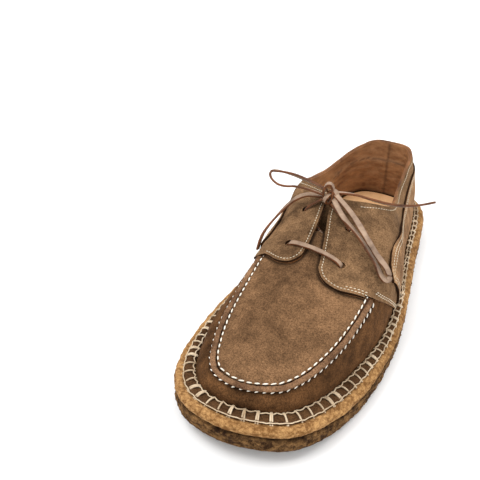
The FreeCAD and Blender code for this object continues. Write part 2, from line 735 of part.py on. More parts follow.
def counter_rows(drop):
    u0, u1 = u_at(COUNTER_FRONT + 9, False) - 1, u_at(COUNTER_FRONT + 9, True)
    return stitches(line_on_form(u0, u1, lambda u: counter_v(u) - drop, C_HIGH + above), FINE_R)


export("counter_stitching", Part.makeCompound(counter_rows(.06) + counter_rows(.11)))


def topline_row(rows, outer):
    front = .153 * LENGTH
    u0, u1 = (.012, u_at(front, True)) if outer else (u_at(front, False), .988)
    points = line_on_form(u0, u1, lambda u: v_at_height(
        u, table(rows, form(u, .9)[1]) - 3.4), Q_HIGH + above)
    return stitches(points, FINE_R)


export("topline_stitching", Part.makeCompound(
    topline_row(TOPLINE_OUT, True) + topline_row(TOPLINE_IN, False)))

# ---- lace -----------------------------------------------------------------------------------
lift = Q_HIGH + LACE_D / 2 + LACE_REST


def at_eyelet(name, offset):
    p = on_top(*EYELETS[name], offset)
    return p.x, p.y, p.z


def under(x, y, depth):
    """Point of a crossing under the facing edges."""
    p = on_top(*place([(x, y)])[0], -depth)
    return p.x, p.y, p.z


under_hole = -UPPER_CROSSING - .35
KNOT, LEAVE_IN, LEAVE_OUT, BAR = place([
    (-5.7, 7.5, 85.4), (-9.8, 5.8, 83.4), (-2.6, 4.2, 82.2), (-0.2, -30.6, 69.8)])
lace_run = [
    LEAVE_IN, at_eyelet("upper_in", lift + .6), at_eyelet("upper_in", under_hole),
    under(-0.8, -15.0, UPPER_CROSSING), at_eyelet("lower_out", under_hole),
    at_eyelet("lower_out", lift + .3), BAR, at_eyelet("lower_in", lift + .7),
    at_eyelet("lower_in", under_hole), under(-3.0, -16.5, LOWER_CROSSING),
    at_eyelet("upper_out", under_hole), at_eyelet("upper_out", lift + .6), LEAVE_OUT]
export("lace_run", tube(lace_run, LACE_D, "lace_run"))
knot = Part.makeSphere(KNOT_R, V(*KNOT))
export("lace_knot", knot)
loop_medial = place([
    (-8.6, 9.6, 88.4), (-25.2, 12.5, 91.5), (-40.0, 10.5, 94.5), (-50.4, 6.5, 95.5),
    (-45.5, -1.5, 93.0), (-37.0, -3.2, 90.5), (-26.0, 4.5, 90.0), (-9.9, 7.0, 85.8)])
loop_lateral = place([
    (-1.9, 5.0, 85.6), (7.6, -6.0, 81.2), (15.0, -9.9, 78.0), (22.6, -13.6, 74.2),
    (30.2, -18.6, 69.6), (38.0, -25.2, 66.0), (45.4, -33.6, 60.2), (51.8, -32.2, 62.4),
    (47.6, -26.2, 67.4), (38.4, -22.4, 70.4), (30.2, -16.8, 74.2), (22.6, -10.6, 78.6),
    (15.0, -5.0, 83.0), (6.6, 0.2, 86.6), (-1.6, 6.8, 88.0)])
end_medial = place([
    (-9.2, 10.2, 82.8), (-15.6, 9.2, 83.2), (-23.0, 8.4, 82.2), (-29.0, 4.6, 79.4),
    (-34.0, -0.6, 74.4), (-38.2, -6.6, 68.4), (-42.6, -12.4, 61.4), (-45.8, -16.0, 53.6),
    (-46.8, -18.0, 45.0)])
end_lateral = place([
    (-3.2, 10.6, 87.3), (7.0, 11.4, 89.3), (20.8, 11.5, 88.2), (31.0, 14.5, 85.8),
    (39.5, 20.3, 83.2), (50.0, 30.0, 81.2), (57.5, 40.5, 80.2)])
for points, name in ((loop_medial, "lace_loop_medial"), (loop_lateral, "lace_loop_lateral"),
                     (end_medial, "lace_end_medial"), (end_lateral, "lace_end_lateral")):
    export(name, tube(points, LACE_D, name).cut(knot))
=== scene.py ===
from math import cos, pi, radians, sin
import bmesh
import bpy
import numpy as np
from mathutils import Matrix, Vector, noise


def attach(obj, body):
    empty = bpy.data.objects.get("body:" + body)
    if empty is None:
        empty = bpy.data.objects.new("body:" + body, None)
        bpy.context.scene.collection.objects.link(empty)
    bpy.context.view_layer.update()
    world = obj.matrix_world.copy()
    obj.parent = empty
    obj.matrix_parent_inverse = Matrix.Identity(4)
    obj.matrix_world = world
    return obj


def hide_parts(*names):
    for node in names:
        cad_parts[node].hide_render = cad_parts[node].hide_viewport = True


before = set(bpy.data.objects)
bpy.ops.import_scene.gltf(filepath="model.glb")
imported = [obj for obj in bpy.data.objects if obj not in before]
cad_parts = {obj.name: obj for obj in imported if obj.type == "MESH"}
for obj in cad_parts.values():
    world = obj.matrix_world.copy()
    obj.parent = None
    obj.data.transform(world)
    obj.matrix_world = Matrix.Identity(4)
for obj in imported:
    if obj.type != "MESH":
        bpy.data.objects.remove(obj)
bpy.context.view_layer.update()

MM = 0.001
SHOE, TONGUE = "shoe", "tongue"

# ---- sizes of the shoe, in millimetres ----------------------------------------------------------
LENGTH, WIDTH = 300.0, 120.8
OUTSOLE_T, MIDSOLE_T, HEEL_RISE, TOE_SPRING = 11.0, 6.0, 5.0, 9.5
LEATHER_T, LINING_T, STIFFENER_T, FLANGE_T, PLY_GAP = 1.6, 1.0, 1.2, 1.6, 0.15
TONGUE_DROP, TONGUE_T, TONGUE_HALF, FOLD_Y, FOLD_GAP = 10.4, 1.8, 20.0, -37.0, 1.6
UPPER_CROSSING, LOWER_CROSSING = 4.5, 8.1
EYELET_R, THONG_W, THONG_T = 2.6, 3.6, 1.5
APRON_BACK, FOOT_V, CREST_V = -28, .012, 1.985
OUTER_ROW_V, SEAM_V, INNER_ROW_V = .935, 1.012, 1.09
LINING_LOW = -LEATHER_T - PLY_GAP - LINING_T
QUARTER_LOW, QUARTER_HIGH = PLY_GAP, PLY_GAP + LEATHER_T
COUNTER_LOW_FACE = QUARTER_HIGH + PLY_GAP
COUNTER_HIGH = COUNTER_LOW_FACE + LEATHER_T

PLAN = [
    (1, 300), (28, 295), (41, 280), (47, 255), (51, 220), (56.5, 180), (61.5, 140), (62, 105),
    (58, 70), (47.5, 36), (32, 13), (9, 2), (-11, 0), (-32, 6), (-47, 22), (-56, 48), (-58.5, 80),
    (-57, 112), (-53, 150), (-50, 190), (-46.5, 235), (-39, 272), (-22, 294)]
LEDGE_OUT = [(-150, 14), (-80, 12.5), (-45, 9.5), (-20, 8.5), (10, 9.5), (40, 11.5),
             (150, 12.5)]
LEDGE_IN = [(-150, 14), (-100, 11), (-20, 10.5), (10, 12), (150, 12.5)]
LEAN_OUT = [(-150, .14), (-120, .10), (-86, .09), (-46, .13), (0, .14), (25, .17), (50, .26),
            (75, .32), (100, .35), (150, .30)]
LEAN_IN = [(-150, .14), (-120, .22), (-86, .27), (-46, .28), (-20, .27), (0, .22), (20, .15),
           (46, .06), (90, .12), (150, .30)]
SHOULDER_OUT = [(-150, 36.5), (-125, 38.5), (-86, 45), (-46, 53), (0, 61), (25, 65), (50, 67),
                (75, 68), (100, 72), (150, 84)]
SHOULDER_IN = [(-150, 36.5), (-125, 38.5), (-86, 45), (-46, 53), (0, 62), (25, 68), (50, 72),
               (75, 71), (100, 73), (150, 84)]
CROWN = [(-150, .70), (-130, .64), (-100, .54), (-46, .60), (0, .68), (150, .72)]
CREST_X = [(-95, 3), (-40, -1), (10, -6), (60, -3), (105, 0)]
CREST_Z = [(-95, 47), (-60, 56), (-30, 64.5), (0, 74.5), (18, 79), (40, 80), (70, 80), (105, 88)]
TOPLINE_OUT = [(8, 84), (16, 79), (26, 75), (36, 70), (46, 67), (66, 65), (90, 67), (110, 71),
               (134, 74)]
TOPLINE_IN = [(8, 86), (16, 82), (26, 78.5), (45, 71), (70, 63), (90, 60.5), (111, 63.5),
              (128, 70), (134, 74)]
COUNTER_TOP = [(-22, 53), (-19, 57), (-13.7, 59.5), (-2.5, 62), (11.6, 62), (30, 58.5), (53, 54),
               (75, 54.5), (94, 57.5), (140, 62)]
COUNTER_LOW = [(-22, 50.5), (-14, 42), (-7, 31), (0, 19), (6, 6)]
COUNTER_FRONT, COUNTER_BELOW = -21.5, 5.6
TAB_OUT = [(39.5, -48.5), (30, -50.5), (21, -51), (12, -48.5), (6.8, -42.5),
           (5.4, -36), (0.8, -16), (-4.2, 6), (-3.5, 30)]
TAB_IN = [(-31.8, -37), (-21.8, -41.5), (-12.8, -41.4), (-7.8, -36.5), (-6.8, -29.5),
          (-6.8, -17.5), (-7.5, -4), (-8.6, 8), (-8.6, 30)]
FRONT_OUT = (-2.0, 15.0), (-50.0, 58.0)
FRONT_IN = (2.0, 15.0), (-44.0, 58.0)
SEAM_BACK_OUT, SEAM_BACK_IN = -50.0, -42.0
EYELETS = {"lower_in": (-19.3, -27), "lower_out": (18.3, -33.2),
           "upper_in": (-19.9, 3.3), "upper_out": (13.2, -5.1)}


# ---- the form of the upper ----------------------------------------------------------------------
def smooth(x):
    x = np.clip(x, 0, 1)
    return x * x * (3 - 2 * x)


def hermite(t, a, b, m, n):
    return ((2 * t**3 - 3 * t * t + 1) * a + (t**3 - 2 * t * t + t) * m
            + (3 * t * t - 2 * t**3) * b + (t**3 - t * t) * n)


def table(rows, x):
    xs, ys = np.array(rows, float).T
    slope = np.zeros(len(xs))
    slope[1:-1] = (ys[2:] - ys[:-2]) / (xs[2:] - xs[:-2])
    i = np.clip(np.searchsorted(xs, x, side="right") - 1, 0, len(xs) - 2)
    h = xs[i + 1] - xs[i]
    t = np.clip((x - xs[i]) / h, 0, 1)
    return hermite(t, ys[i], ys[i + 1], slope[i] * h, slope[i + 1] * h)


def through(points, count, closed=False):
    """Smooth curve through the points, evenly cut by chord length."""
    p = np.array(points, float)
    if closed:
        p = np.vstack([p, p[:1]])
    h = np.linalg.norm(np.diff(p, axis=0), axis=1)
    t = np.concatenate([[0], np.cumsum(h)])
    m = np.zeros_like(p)
    m[1:-1] = (p[2:] - p[:-2]) / (h[:-1] + h[1:])[:, None]
    if closed:
        m[0] = m[-1] = (p[1] - p[-2]) / (h[0] + h[-1])
    else:
        m[0], m[-1] = (p[1] - p[0]) / h[0], (p[-1] - p[-2]) / h[-1]
    s = np.linspace(0, t[-1], count + 1)[:count + (0 if closed else 1)]
    i = np.clip(np.searchsorted(t, s, side="right") - 1, 0, len(h) - 1)
    w, g = ((s - t[i]) / h[i])[:, None], h[i][:, None]
    return hermite(w, p[i], p[i + 1], m[i] * g, m[i + 1] * g)


drawn = through([(x, s - 150) for x, s in PLAN], 6000, True)
low, high = drawn.min(0), drawn.max(0)
RIM = (drawn - (low + high) / 2) * (np.array([WIDTH, LENGTH]) / (high - low))


def outline(u):
    s = (np.asarray(u, float) % 1.0) * len(RIM)
    i = s.astype(int) % len(RIM)
    w = (s - np.floor(s))[..., None]
    return RIM[i] * (1 - w) + RIM[(i + 1) % len(RIM)] * w


def inset(u, d):
    a, b = outline(u - .003), outline(u + .003)
    t = (b - a) / np.linalg.norm(b - a, axis=-1, keepdims=True)
    return outline(u) + np.asarray(d)[..., None] * np.stack([t[..., 1], -t[..., 0]], -1)


def curl(y):
    return np.clip((-70 - y) / 80, 0, None)**2


def z_ground(y):
    return np.maximum(0, TOE_SPRING * curl(y) - .4 * (1 - curl(y)))


def z_seam(y):
    return OUTSOLE_T + (TOE_SPRING + .5) * curl(y) + HEEL_RISE * .6 * smooth(y / 150)


def z_top(y):
    return OUTSOLE_T + MIDSOLE_T + (TOE_SPRING + 1) * curl(y) + HEEL_RISE * smooth(y / 150)


def by_side(u, outer, inner):
    o = outline(u)
    w = smooth((o[..., 0] / 28 + 1) / 2)
    return w * table(outer, o[..., 1]) + (1 - w) * table(inner, o[..., 1])


def ledge(u):
    return by_side(u, LEDGE_OUT, LEDGE_IN)


def crest_y(u):
    return -95 + (outline(u)[..., 1] + 150) * 2 / 3


def ribs(u):
    """The five points of the cross-section at each u."""
    foot = inset(u, ledge(u))
    z0 = z_top(foot[..., 1])
    ky = crest_y(u)
    crest = np.stack([table(CREST_X, ky), ky], -1)
    z1, z2 = by_side(u, SHOULDER_OUT, SHOULDER_IN), table(CREST_Z, ky)
    shoulder = foot + by_side(u, LEAN_OUT, LEAN_IN)[..., None] * (crest - foot)
    wall = inset(u, ledge(u) - 1.2) + .3 * (shoulder - foot)
    crown = shoulder + .48 * (crest - shoulder)
    zs = [z0, (z0 + z1) / 2, z1, z1 + table(CROWN, outline(u)[..., 1]) * (z2 - z1), z2]
    return np.stack([np.concatenate([p, z[..., None]], -1) for p, z in
                     zip((foot, wall, shoulder, crown, crest), zs)], -2)


def form(u, v):
    """Points S(u, v) of the form, for arrays of the same shape."""
    u, v = np.broadcast_arrays(np.asarray(u, float), np.clip(v, 0, 2))
    r = ribs(u)
    before = 2 * r[..., :1, :] - r[..., 1:2, :]
    after = np.concatenate([2 * r[..., 4:, :2] - r[..., 3:4, :2], r[..., 3:4, 2:]], -1)
    p = np.concatenate([before, r, after], -2)
    g = np.linalg.norm(np.diff(p, axis=-2), axis=-1)[..., None]
    step = np.diff(p, axis=-2) / g
    m = (step[..., :-1, :] * g[..., 1:, :] + step[..., 1:, :] * g[..., :-1, :]) / (
        g[..., :-1, :] + g[..., 1:, :])
    i = np.minimum(3, (v * 2).astype(int))

    def pick(a, k):
        return np.take_along_axis(a, (i + k)[..., None, None], -2)[..., 0, :]

    h = pick(g, 1)
    return hermite((v * 2 - i)[..., None], pick(p, 1), pick(p, 2), pick(m, 0) * h, pick(m, 1) * h)


def normals(u, v):
    v = np.clip(v, .01, CREST_V)
    n = np.cross(form(u - .002, v) - form(u + .002, v), form(u, v + .01) - form(u, v - .01))
    return n / np.linalg.norm(n, axis=-1, keepdims=True)


def leather(u, v, offset):
    """Points of the form moved outwards."""
    return form(u, v) + np.asarray(offset)[..., None] * normals(u, v)


GRID_U, GRID_V = np.meshgrid(np.arange(360) / 360, np.linspace(1, CREST_V, 30), indexing="ij")
GRID_P = form(GRID_U, GRID_V).reshape(-1, 3)


def uv_of(x, y):
    """(u, v) of the top surface over plan points."""
    x, y = np.atleast_1d(x).astype(float), np.atleast_1d(y).astype(float)
    near = np.argmin((GRID_P[:, 0] - x[:, None])**2 + (GRID_P[:, 1] - y[:, None])**2, axis=1)
    u, v = GRID_U.ravel()[near], GRID_V.ravel()[near]
    for _ in range(6):
        p, q, r = form(u, v), form(u + .002, v), form(u, v + .01)
        a, b, c, d = q[:, 0] - p[:, 0], r[:, 0] - p[:, 0], q[:, 1] - p[:, 1], r[:, 1] - p[:, 1]
        det = a * d - b * c
        det = np.where(abs(det) < 1e-7, 1e-7, det)
        u = u + np.clip(((x - p[:, 0]) * d - (y - p[:, 1]) * b) / det, -3, 3) * .002
        v = v + np.clip(((y - p[:, 1]) * a - (x - p[:, 0]) * c) / det, -6, 6) * .01
        v = np.clip(v, 1.0, CREST_V)
    return u, v


def on_top(x, y, offset=0.0):
    """Points over plan points (x, y), the surface continued outwards past its shoulder."""
    shape = np.broadcast(x, y).shape
    x, y = (np.broadcast_to(a, shape).ravel() for a in (x, y))
    u, v = uv_of(x, y)
    p, n = form(u, v), normals(u, v)
    z = p[:, 2] - (n[:, 0] * (x - p[:, 0]) + n[:, 1] * (y - p[:, 1])) / n[:, 2]
    return (np.stack([x, y, z], -1) + np.broadcast_to(offset, shape).ravel()[:, None] * n
            ).reshape(shape + (3,))


def u_at(y, outer):
    """u of the outline point at y on the outer or the inner side."""
    u = np.linspace(.02, .48, 1500) if outer else np.linspace(.98, .52, 1500)
    return float(np.interp(-y, -outline(u)[:, 1], u))


def v_where(u, test, low=0.0, high=1.98):
    """v at each u where test(points) turns positive."""
    low, high = np.full(np.shape(u), low), np.full(np.shape(u), high)
    for _ in range(26):
        mid = (low + high) / 2
        over = test(form(u, mid)) > 0
        low, high = np.where(over, low, mid), np.where(over, mid, high)
    return (low + high) / 2


# ---- meshes -------------------------------------------------------------------------------------
def wobble(points, scale, amount, seed=0.0):
    """Smooth random number for each point, features about 1/scale mm across."""
    flat = points.reshape(-1, 3) * scale + seed
    out = np.array([noise.noise(Vector(p)) for p in flat])
    return amount * out.reshape(points.shape[:-1])


def added(name, data):
    """New object in the scene."""
    obj = bpy.data.objects.new(name, data)
    bpy.context.scene.collection.objects.link(obj)
    return obj


def settled(obj):
    """The mesh of obj after its modifiers."""
    bpy.context.view_layer.update()
    return bpy.data.meshes.new_from_object(
        obj.evaluated_get(bpy.context.evaluated_depsgraph_get()))


def grid_faces(nu, nv, closed_u=True, closed_v=False):
    """Faces of a grid of nu by nv points."""
    return [(i * nv + j, i * nv + (j + 1) % nv, (i + 1) % nu * nv + (j + 1) % nv,
             (i + 1) % nu * nv + j) for i in range(nu if closed_u else nu - 1)
            for j in range(nv if closed_v else nv - 1)]


def new_mesh(name, verts, faces, mats, face_mats=None, smooth_shade=True):
    mesh = bpy.data.meshes.new(name)
    mesh.from_pydata((np.asarray(verts).reshape(-1, 3) * MM).tolist(), [], faces)
    for m in mats:
        mesh.materials.append(m)
    if face_mats is not None:
        mesh.polygons.foreach_set("material_index", np.asarray(face_mats, np.int32))
    if smooth_shade:
        mesh.shade_smooth()
    mesh.validate()
    return added(name, mesh)


def weld(obj, distance=2e-6):
    bm = bmesh.new()
    bm.from_mesh(obj.data)
    bmesh.ops.remove_doubles(bm, verts=bm.verts, dist=distance)
    bmesh.ops.dissolve_degenerate(bm, edges=bm.edges, dist=1e-7)
    bmesh.ops.recalc_face_normals(bm, faces=bm.faces)
    bm.to_mesh(obj.data)
    bm.free()


def finish_edge(obj, width, segments=2):
    bevel = obj.modifiers.new("Worn edge", "BEVEL")
    bevel.width = width * MM
    bevel.segments = segments
    bevel.limit_method = "ANGLE"
    bevel.angle_limit = radians(50)
    bevel.harden_normals = False
    bevel.use_clamp_overlap = True


def plate(name, outer, inner, mats, round_to=.45, closed_u=False):
    """Closed leather plate between two grids; mats are face, cut edge and back."""
    nu, nv = outer.shape[:2]
    verts = np.concatenate([outer.reshape(-1, 3), inner.reshape(-1, 3)])

    def at(i, j, k):
        return k * nu * nv + (i % nu) * nv + j

    faces, kinds = [], []
    last_u = nu if closed_u else nu - 1
    for i in range(last_u):
        for j in range(nv - 1):
            faces.append((at(i, j, 0), at(i + 1, j, 0), at(i + 1, j + 1, 0), at(i, j + 1, 0)))
            faces.append((at(i, j, 1), at(i, j + 1, 1), at(i + 1, j + 1, 1), at(i + 1, j, 1)))
            kinds += [0, 2]
        for j in (0, nv - 1):
            a, b = (at(i, j, 0), at(i + 1, j, 0))
            c, d = (at(i + 1, j, 1), at(i, j, 1))
            faces.append((a, d, c, b) if j == 0 else (a, b, c, d))
            kinds.append(1)
    if not closed_u:
        for i in (0, nu - 1):
            for j in range(nv - 1):
                a, b, c, d = at(i, j, 0), at(i, j + 1, 0), at(i, j + 1, 1), at(i, j, 1)
                faces.append((a, b, c, d) if i == 0 else (a, d, c, b))
                kinds.append(1)
    obj = new_mesh(name, verts, faces, mats, kinds)
    weld(obj)
    if round_to:
        finish_edge(obj, round_to)
    return obj


def near_line(points, line):
    """Distance in millimetres from each point to the nearest point of a dense line."""
    flat = points.reshape(-1, 3)
    out = np.full(len(flat), 1e9)
    for k in range(0, len(line), 200):
        d = np.linalg.norm(flat[:, None] - line[None, k:k + 200], axis=2).min(1)
        out = np.minimum(out, d)
    return out.reshape(points.shape[:-1])


def paint(obj, name, values):
    """Number per vertex that a material reads."""
    data = obj.data.attributes.new(name, "FLOAT", "POINT").data
    data.foreach_set("value", np.asarray(values, np.float32).ravel())


def shadowed(obj, line, width, depth):
    """Painted shade on the parts of a piece close to a line, kept in its shade attribute."""
    count = len(obj.data.vertices)
    at = np.empty(count * 3, np.float32)
    obj.data.vertices.foreach_get("co", at)
    near = depth * np.exp(-(near_line(at.reshape(-1, 3) / MM, line) / width)**2)
    if "shade" in obj.data.attributes:
        old = np.empty(count, np.float32)
        obj.data.attributes["shade"].data.foreach_get("value", old)
        obj.data.attributes["shade"].data.foreach_set("value", np.maximum(
            old, near).astype(np.float32))
    else:
        paint(obj, "shade", near)


def keep(obj, body, slot, *nodes):
    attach(obj, body)
    if nodes:
        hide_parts(*nodes)
    return obj


# ---- materials ----------------------------------------------------------------------------------
def linear(r, g, b):
    """Linear colour of a display colour given as 0 to 255."""
    c = np.array([r, g, b]) / 255
    return (*np.where(c <= .04045, c / 12.92, ((c + .055) / 1.055)**2.4).tolist(), 1.0)


class Net:
    """A node tree with short calls to add nodes and fill their inputs."""

    def __init__(self, tree):
        self.tree = tree

    def add(self, kind, inputs=(), **settings):
        node = self.tree.nodes.new(kind)
        for key, value in settings.items():
            setattr(node, key, value)
        for key, value in dict(inputs).items():
            if isinstance(value, bpy.types.NodeSocket):
                self.tree.links.new(value, node.inputs[key])
            else:
                node.inputs[key].default_value = value
        return node

    def out(self, kind, inputs=(), **settings):
        return self.add(kind, inputs, **settings).outputs[0]

    def noise(self, vector, scale, detail=3.0, rough=.55):
        return self.add("ShaderNodeTexNoise", {"Vector": vector, "Scale": scale, "Detail": detail,
                                               "Roughness": rough}).outputs["Fac"]

    def fit(self, value, a, b, c=0.0, d=1.0):
        return self.add("ShaderNodeMapRange", {"Value": value, "From Min": a, "From Max": b,
                                               "To Min": c, "To Max": d}).outputs["Result"]

    def math(self, operation, a, b=0.0):
        return self.add("ShaderNodeMath", {0: a, 1: b}, operation=operation).outputs[0]

    def mix(self, fac, a, b, blend="MIX"):
        node = self.add("ShaderNodeMix", data_type="RGBA", blend_type=blend)
        for key, value in ((0, fac), (6, a), (7, b)):
            if isinstance(value, bpy.types.NodeSocket):
                self.tree.links.new(value, node.inputs[key])
            else:
                node.inputs[key].default_value = value
        return node.outputs[2]


def fill(node, values):
    for key, value in values.items():
        node.inputs[key].default_value = value


def group(name, inputs, outputs, build):
    tree = bpy.data.node_groups.new(name, "ShaderNodeTree")
    for label, kind, value in inputs:
        socket = tree.interface.new_socket(label, in_out="INPUT", socket_type=kind)
        socket.default_value = value
    for label, kind in outputs:
        tree.interface.new_socket(label, in_out="OUTPUT", socket_type=kind)
    net = Net(tree)
    given, made = net.add("NodeGroupInput"), net.add("NodeGroupOutput")
    for label, value in build(net, given.outputs).items():
        tree.links.new(value, made.inputs[label])
    return tree


COLOR, NUMBER = "NodeSocketColor", "NodeSocketFloat"
HUES = [("Dark", COLOR, (0, 0, 0, 1)), ("Light", COLOR, (1, 1, 1, 1)),
        ("Deep", COLOR, (0, 0, 0, 1))]


def grained(net, color, grain):
    """Colour times a grey grain."""
    grey = net.out("ShaderNodeCombineColor", {"Red": grain, "Green": grain, "Blue": grain})
    return net.mix(1.0, color, grey, "MULTIPLY")


def shade_attribute_darkened(net, color, given):
    """Colour darkened where the piece is painted with shade."""
    shade = net.add("ShaderNodeAttribute", attribute_name="shade").outputs["Fac"]
    return net.mix(net.math("MULTIPLY", shade, given["Shade"]), color, given["Deep"])


def hide_pattern(net, given):
    """Cloudy colour and nap of suede."""
    where = net.add("ShaderNodeTexCoord").outputs["Object"]
    cloud = net.noise(where, given["Cloud scale"], 4, .6)
    patch = net.noise(where, 130, 4, .6)
    nap = net.noise(where, 900, 5, .75)
    speck = net.noise(where, 2600, 2, .5)
    tone = net.math("ADD", net.fit(cloud, .34, .66, .1, .6), net.fit(patch, .35, .65, 0, .3))
    color = net.mix(tone, given["Dark"], given["Light"])
    grain = net.fit(net.math("ADD", nap, net.math("MULTIPLY", speck, .8)), .70, 1.10, .42, 1.58)
    color = shade_attribute_darkened(net, grained(net, color, grain), given)
    height = net.math("ADD", net.math("MULTIPLY", nap, .7), net.math("MULTIPLY", patch, .5))
    return {"Color": color, "Height": height, "Tone": tone}


SUEDE = group("Suede hide", HUES + [
    ("Cloud scale", NUMBER, 32.0), ("Shade", NUMBER, 1.0)],
    [("Color", COLOR), ("Height", NUMBER), ("Tone", NUMBER)], hide_pattern)


def crepe_pattern(net, given):
    """Crumbly crepe: pale crumbs in a darker binder, darker between crumbs, and darkened by the
    painted shade of the shade attribute.
    """
    where = net.add("ShaderNodeTexCoord").outputs["Object"]
    stretch = net.add("ShaderNodeMapping", {"Vector": where, "Scale": (1, 1, 1.6)}).outputs[0]
    crumb = net.add("ShaderNodeTexVoronoi", {"Vector": stretch, "Scale": given["Crumb scale"],
                                             "Randomness": 1.0}, feature="F1").outputs["Distance"]
    lump = net.noise(stretch, given["Lump scale"], 5, .65)
    fine = net.noise(where, 1500, 3, .6)
    cloud = net.noise(where, 60, 3, .6)
    tone = net.math("ADD", net.fit(lump, .3, .7, .1, .8), net.fit(fine, .3, .7, -.2, .4))
    tone = net.math("ADD", tone, net.fit(cloud, .35, .65, -.12, .15))
    tone = net.math("SUBTRACT", tone, net.fit(crumb, .2, .8, 0, .45))
    color = shade_attribute_darkened(net, net.mix(tone, given["Dark"], given["Light"]), given)
    height = net.math("ADD", net.math("MULTIPLY", lump, .8), net.math("MULTIPLY", fine, .35))
    return {"Color": color, "Height": net.math("SUBTRACT", height, net.math("MULTIPLY", crumb, .6))}


CREPE = group("Crepe rubber", HUES + [
    ("Crumb scale", NUMBER, 420.0), ("Lump scale", NUMBER, 260.0), ("Shade", NUMBER, 1.0)],
    [("Color", COLOR), ("Height", NUMBER)], crepe_pattern)


def smooth_hide_pattern(net, given):
    """Pores, veins and handling marks of smooth leather."""
    where = net.add("ShaderNodeTexCoord").outputs["Object"]
    cloud = net.noise(where, given["Cloud scale"], 4, .6)
    pores = net.add("ShaderNodeTexVoronoi", {"Vector": where, "Scale": given["Pore scale"],
                                             "Randomness": 1.0}).outputs["Distance"]
    streak = net.noise(net.add("ShaderNodeMapping", {
        "Vector": where, "Scale": (1, .35, 2.2), "Rotation": (0, .5, .4)}).outputs[0], 150, 4, .6)
    fine = net.noise(where, 1900, 3, .6)
    tone = net.math("ADD", net.fit(cloud, .32, .68, 0, .6), net.fit(streak, .35, .65, 0, .4))
    color = net.mix(tone, given["Dark"], given["Light"])
    grain = net.fit(fine, .3, .7, .9, 1.08)
    color = shade_attribute_darkened(net, grained(net, color, grain), given)
    height = net.math("ADD", net.math("MULTIPLY", streak, .8), net.math("MULTIPLY", pores, .3))
    return {"Color": color, "Height": height, "Rough": net.fit(tone, 0, 1, .62, .48)}


SMOOTH_HIDE = group("Smooth hide", HUES + [
    ("Cloud scale", NUMBER, 40.0), ("Pore scale", NUMBER, 1400.0), ("Shade", NUMBER, 1.0)],
    [("Color", COLOR), ("Height", NUMBER), ("Rough", NUMBER)], smooth_hide_pattern)


def material(name, tree, values, bump, relief=.3, rough=.9, shine=.3, coat=0.0):
    mat = bpy.data.materials.new(name)
    mat.use_nodes = True
    net = Net(mat.node_tree)
    shader = mat.node_tree.nodes["Principled BSDF"]
    pattern = net.add("ShaderNodeGroup", node_tree=tree)
    fill(pattern, values)
    link = mat.node_tree.links.new
    link(pattern.outputs["Color"], shader.inputs["Base Color"])
    height = net.add("ShaderNodeBump", {"Height": pattern.outputs["Height"], "Strength": bump,
                                        "Distance": relief * MM})
    link(height.outputs[0], shader.inputs["Normal"])
    fill(shader, {"Roughness": rough, "Specular IOR Level": shine, "Coat Weight": coat})
    if "Rough" in pattern.outputs:
        link(pattern.outputs["Rough"], shader.inputs["Roughness"])
    return mat


def hues(dark, light, deep, **more):
    return {"Dark": linear(*dark), "Light": linear(*light), "Deep": linear(*deep), **more}


def suede(name, *colors, **more):
    return material(name, SUEDE, hues(*colors, **more), .8, .45, .97, .06)


BROAD, FINE_PORES = {"Cloud scale": 20.0}, {"Pore scale": 3000.0}
suede_vamp = suede("Vamp suede", (44, 28, 15), (112, 77, 47), (18, 11, 6))
suede_apron = suede("Apron suede", (54, 37, 23), (140, 105, 74), (26, 17, 10), **BROAD)
suede_quarter = suede("Quarter suede", (54, 37, 24), (150, 116, 83), (26, 17, 10), **BROAD)
suede_counter = suede("Counter suede", (88, 60, 39), (186, 146, 106), (26, 17, 10))
suede_roll = suede("Rolled suede edge", (66, 44, 30), (150, 114, 84), (22, 13, 8))
# Cut-edge colour: the suede's own darker edge, made darker still as painted shade along the tab and
# facing edges.
suede_edge = suede("Dark cut edge", (30, 18, 10), (58, 37, 21), (14, 8, 4))
suede_tongue = suede("Tongue suede", (62, 44, 28), (104, 78, 52), (26, 17, 10))
flange_suede = suede("Flange suede", (54, 36, 22), (98, 70, 45), (24, 15, 9))
crepe_lip = material("Honey crepe", CREPE, hues(
    (118, 80, 42), (206, 160, 104), (36, 20, 8)), 1.0, 1.0, .9, .15)
crepe_base = material("Weathered crepe", CREPE, hues(
    (52, 33, 18), (150, 112, 70), (26, 14, 7), **{"Crumb scale": 300.0, "Lump scale": 190.0}),
    1.0, 1.1, .95, .1)
lining_hide = material("Tan lining leather", SMOOTH_HIDE, hues(
    (108, 71, 43), (182, 134, 92), (44, 26, 14)), .6, .4, .55, .3)
lining_edge = material("Topline cut edge", SMOOTH_HIDE, hues(
    (70, 40, 19), (150, 98, 54), (50, 28, 12)), .4, .2, .7)
sock_hide = material("Sock leather", SMOOTH_HIDE, hues(
    (212, 164, 114), (236, 192, 143), (140, 96, 60)), .3, .2, .6)
thong_hide = material("Lace leather", SMOOTH_HIDE, hues(
    (100, 78, 62), (178, 150, 126), (60, 38, 24), **{"Pore scale": 2200.0}), .5, .2, .7)
thong_edge = material("Lace cut edge", SMOOTH_HIDE, hues(
    (44, 23, 11), (128, 76, 40), (30, 15, 7)), .4, .15, .7)
seam_thread = material("Seam thread", SMOOTH_HIDE, hues(
    (212, 204, 186), (248, 242, 230), (150, 130, 100), **FINE_PORES), .5, .1, .7)
edge_thread = material("Edge thread", SMOOTH_HIDE, hues(
    (178, 164, 138), (222, 210, 188), (120, 100, 74), **FINE_PORES), .5, .1, .7)
waxed_thread = material("Waxed thread", SMOOTH_HIDE, hues(
    (150, 124, 92), (232, 212, 182), (96, 70, 44), **{"Pore scale": 2600.0}), .6, .15, .7)
board_fibre = material("Insole fibre board", CREPE, hues(
    (120, 96, 70), (160, 134, 104), (80, 60, 40)), .3, .2, .9)

